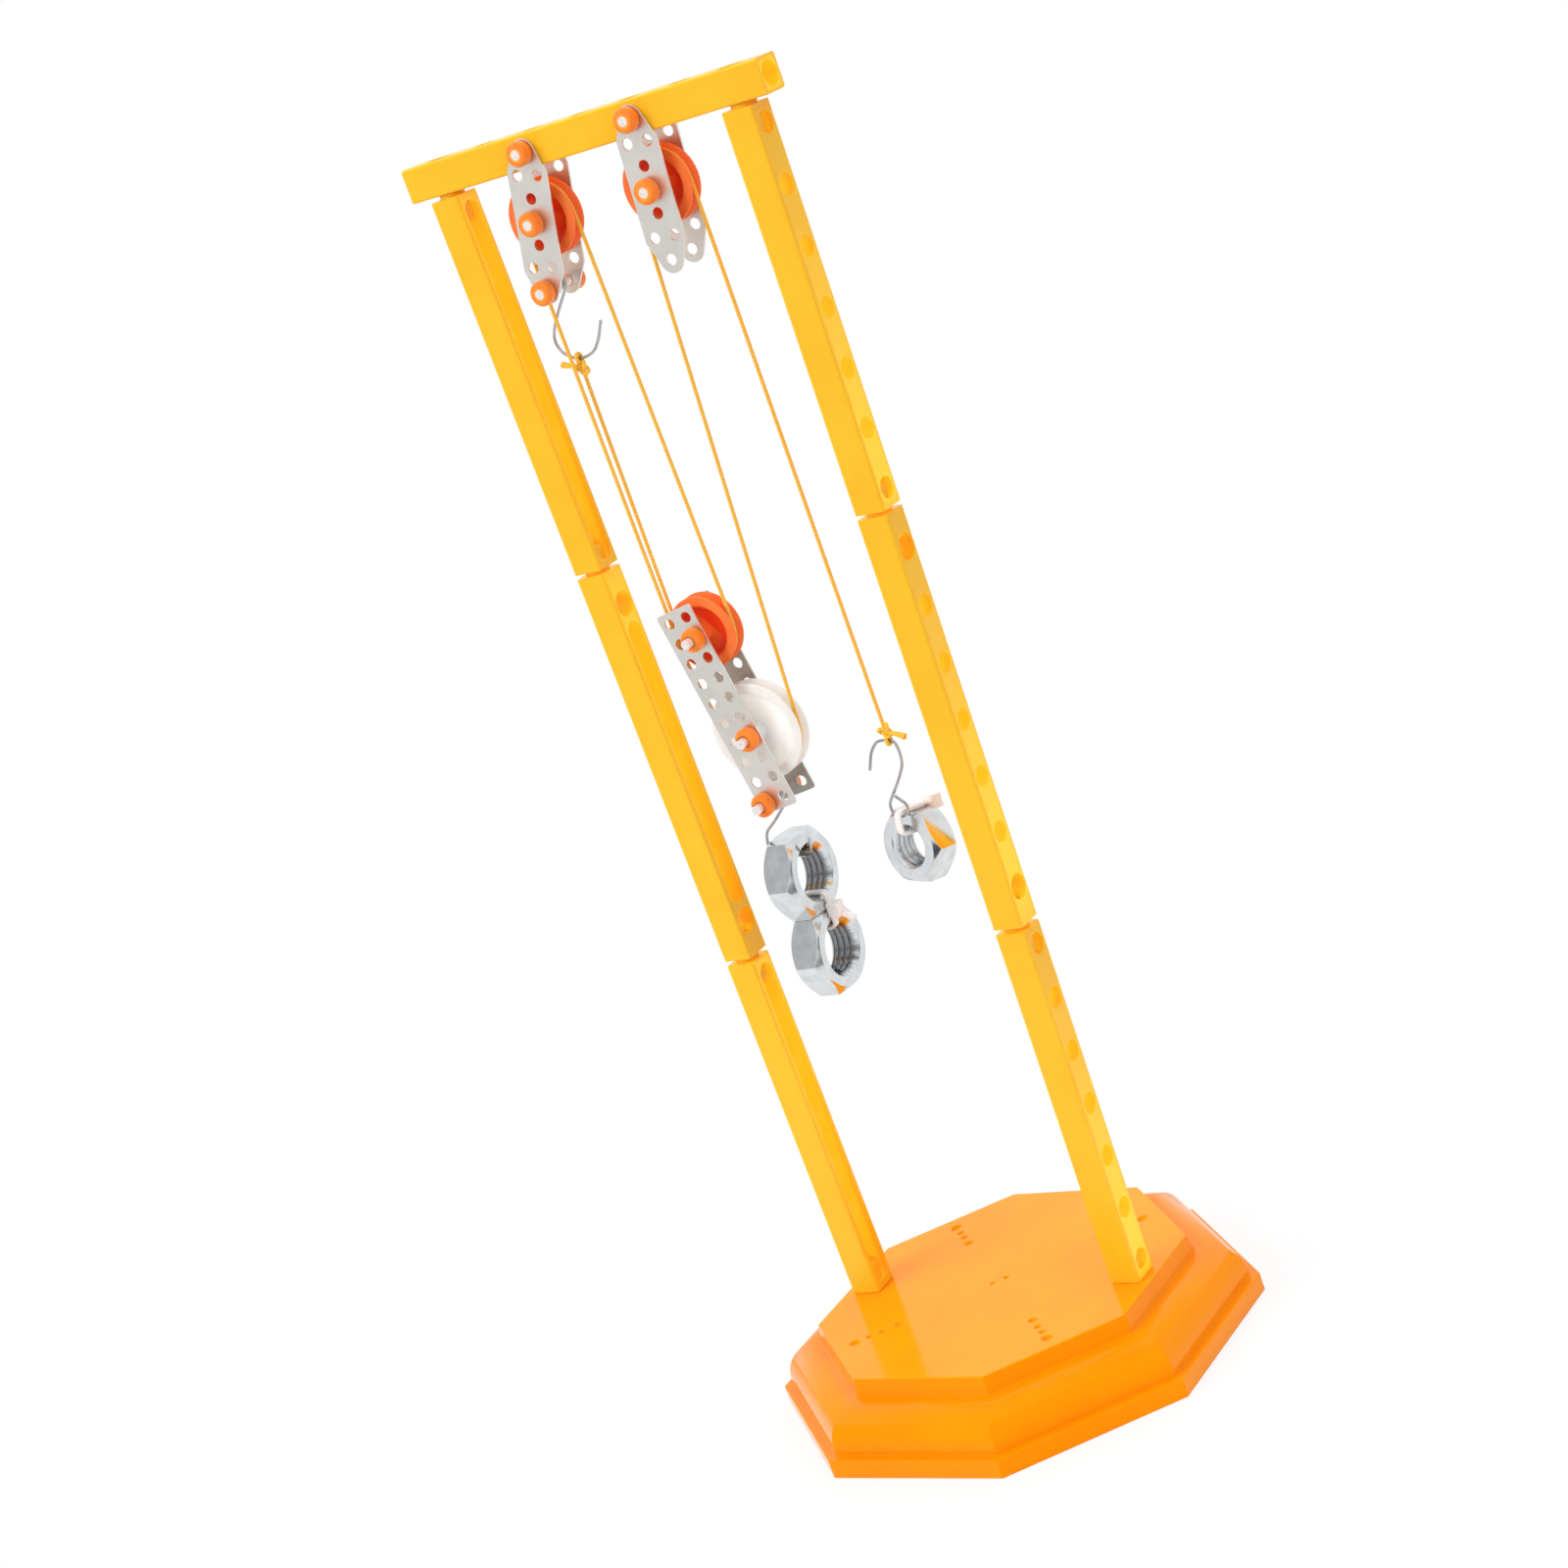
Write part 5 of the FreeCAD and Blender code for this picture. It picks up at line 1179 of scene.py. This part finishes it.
@dataclass
class Studio:
    """White table and room, soft lamps and the camera."""

    eye: Point = (639.0, -870.9, 531.3)
    azimuth: float = 36.92
    down: float = 15.309
    roll: float = -19.952
    lens_mm: float = 72.95
    film_mm: float = 36.0
    sight: tuple[float, float] = (0.01, 50.0)
    floor_size: float = 0.8
    floor_colour: str = "#F4F4F4"
    # The table shows its shadow out to the first distance, in metres, and is plain white
    # from the second. Up to the first it is white by this share.
    shadow_reach: float = 0.15
    white_from: float = 0.5
    white_share: float = 0.82
    room_light: float = 0.62
    aim: Point = (0.0, 0.0, 0.25)
    lamps: Sequence[SoftLamp] = (
        SoftLamp("key", (-1.3, -1.9, 1.8), 40.0),
        SoftLamp("side", (2.2, -0.9, 1.2), 10.5),
        SoftLamp("top", (0.0, 0.3, 2.4), 14.0, size=1.8),
        SoftLamp("back", (-0.6, 2.2, 1.3), 16.0),
    )
    panels: Sequence[DimPanel] = (
        DimPanel((-0.58, -0.63, 0.51), 12.0, 30.0, 0.62),
        DimPanel((-0.59, -0.78, -0.26), 8.0, 20.0, 0.62),
        DimPanel((0.1, -0.98, -0.15), 8.0, 22.0, 0.1),
        DimPanel((0.97, -0.12, -0.27), 8.0, 26.0, 0.06),
        DimPanel((0.93, -0.33, 0.3), 6.0, 18.0, 0.3),
        DimPanel((-0.95, 0.15, -0.2), 6.0, 20.0, 0.1),
        DimPanel((0.3, 0.2, 0.93), 6.0, 20.0, 0.35),
    )

    def build(self) -> None:
        """Make the camera, the lamps, the table and the room's light."""
        self.add_camera()
        self.add_floor()
        self.add_room()
        for lamp in self.lamps:
            lamp.build(self.aim)

    def add_camera(self) -> None:
        """Place the camera by its eye and its three turns."""
        data = bpy.data.cameras.new("camera")
        data.sensor_width = self.film_mm
        data.lens = self.lens_mm
        data.clip_start, data.clip_end = self.sight
        camera = add_object("camera", data)
        turn = (
            Matrix.Rotation(math.radians(self.azimuth), 4, "Z")
            @ Matrix.Rotation(math.radians(90 - self.down), 4, "X")
            @ Matrix.Rotation(math.radians(self.roll), 4, "Z")
        )
        camera.matrix_world = Matrix.Translation(Vector(self.eye) * MM) @ turn
        bpy.context.scene.camera = camera

    def add_floor(self) -> None:
        """Lay the pale table: white to the camera, with the object's shadow on it."""
        bpy.ops.mesh.primitive_plane_add(size=self.floor_size)
        floor = bpy.context.object
        floor.name = "studio_floor"
        made = bpy.data.materials.new("studio_white_table")
        made.use_nodes = True
        tree = made.node_tree
        tree.nodes.clear()
        matt = add_node(tree, "ShaderNodeBsdfDiffuse", {"Color": linear(self.floor_colour)})
        white = add_node(tree, "ShaderNodeEmission", {"Color": WHITE})
        path = add_node(tree, "ShaderNodeLightPath")
        seen = path.outputs["Is Camera Ray"]
        for ray in ("Is Glossy Ray", "Is Transmission Ray"):
            seen = add_node(tree, "ShaderNodeMath", {
                0: seen, 1: path.outputs[ray],
            }, operation="MAXIMUM").outputs[0]
        place = add_node(tree, "ShaderNodeTexCoord").outputs["Object"]
        away = add_node(tree, "ShaderNodeVectorMath", {0: place}, operation="LENGTH")
        glare = add_node(tree, "ShaderNodeMapRange", {
            "Value": away.outputs["Value"],
            "From Min": self.shadow_reach, "From Max": self.white_from,
            "To Min": self.white_share, "To Max": 1.0,
        }, interpolation_type="SMOOTHSTEP")
        share = add_node(tree, "ShaderNodeMath", {
            0: seen, 1: glare.outputs["Result"],
        }, operation="MULTIPLY")
        mixed = add_node(tree, "ShaderNodeMixShader", {
            0: share.outputs[0], 1: matt.outputs[0], 2: white.outputs[0],
        })
        add_node(tree, "ShaderNodeOutputMaterial", {"Surface": mixed.outputs[0]})
        floor.data.materials.append(made)

    def add_room(self) -> None:
        """Light the room softly: white to the camera, even as light, with dim panels in metal."""
        world = bpy.data.worlds.new("studio_room")
        world.use_nodes = True
        bpy.context.scene.world = world
        tree = world.node_tree
        tree.nodes.clear()
        path = add_node(tree, "ShaderNodeLightPath")
        light = add_node(tree, "ShaderNodeBackground", {
            "Color": WHITE, "Strength": self.room_light,
        })
        white = add_node(tree, "ShaderNodeBackground", {"Color": WHITE})
        place = add_node(tree, "ShaderNodeTexCoord").outputs["Generated"]
        strength = self.panels[0].shade(tree, place)
        for panel in self.panels[1:]:
            strength = add_node(tree, "ShaderNodeMath", {
                0: strength, 1: panel.shade(tree, place),
            }, operation="MULTIPLY").outputs[0]
        mirror = add_node(tree, "ShaderNodeBackground", {"Color": WHITE, "Strength": strength})
        lit = add_node(tree, "ShaderNodeMixShader", {
            0: path.outputs["Is Glossy Ray"], 1: light.outputs[0], 2: mirror.outputs[0],
        })
        shown = add_node(tree, "ShaderNodeMixShader", {
            0: path.outputs["Is Camera Ray"], 1: lit.outputs[0], 2: white.outputs[0],
        })
        add_node(tree, "ShaderNodeOutputWorld", {"Surface": shown.outputs[0]})


def main() -> None:
    logging.basicConfig(level=logging.INFO, format="%(message)s")
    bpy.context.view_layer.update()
    Studio().build()
    ReevedCord().build()
    PostFrame().build()
    PulleyBlocks().build()
    Weights().build()
    bpy.context.scene.view_settings.view_transform = "Standard"


if __name__ == "__main__":
    main()
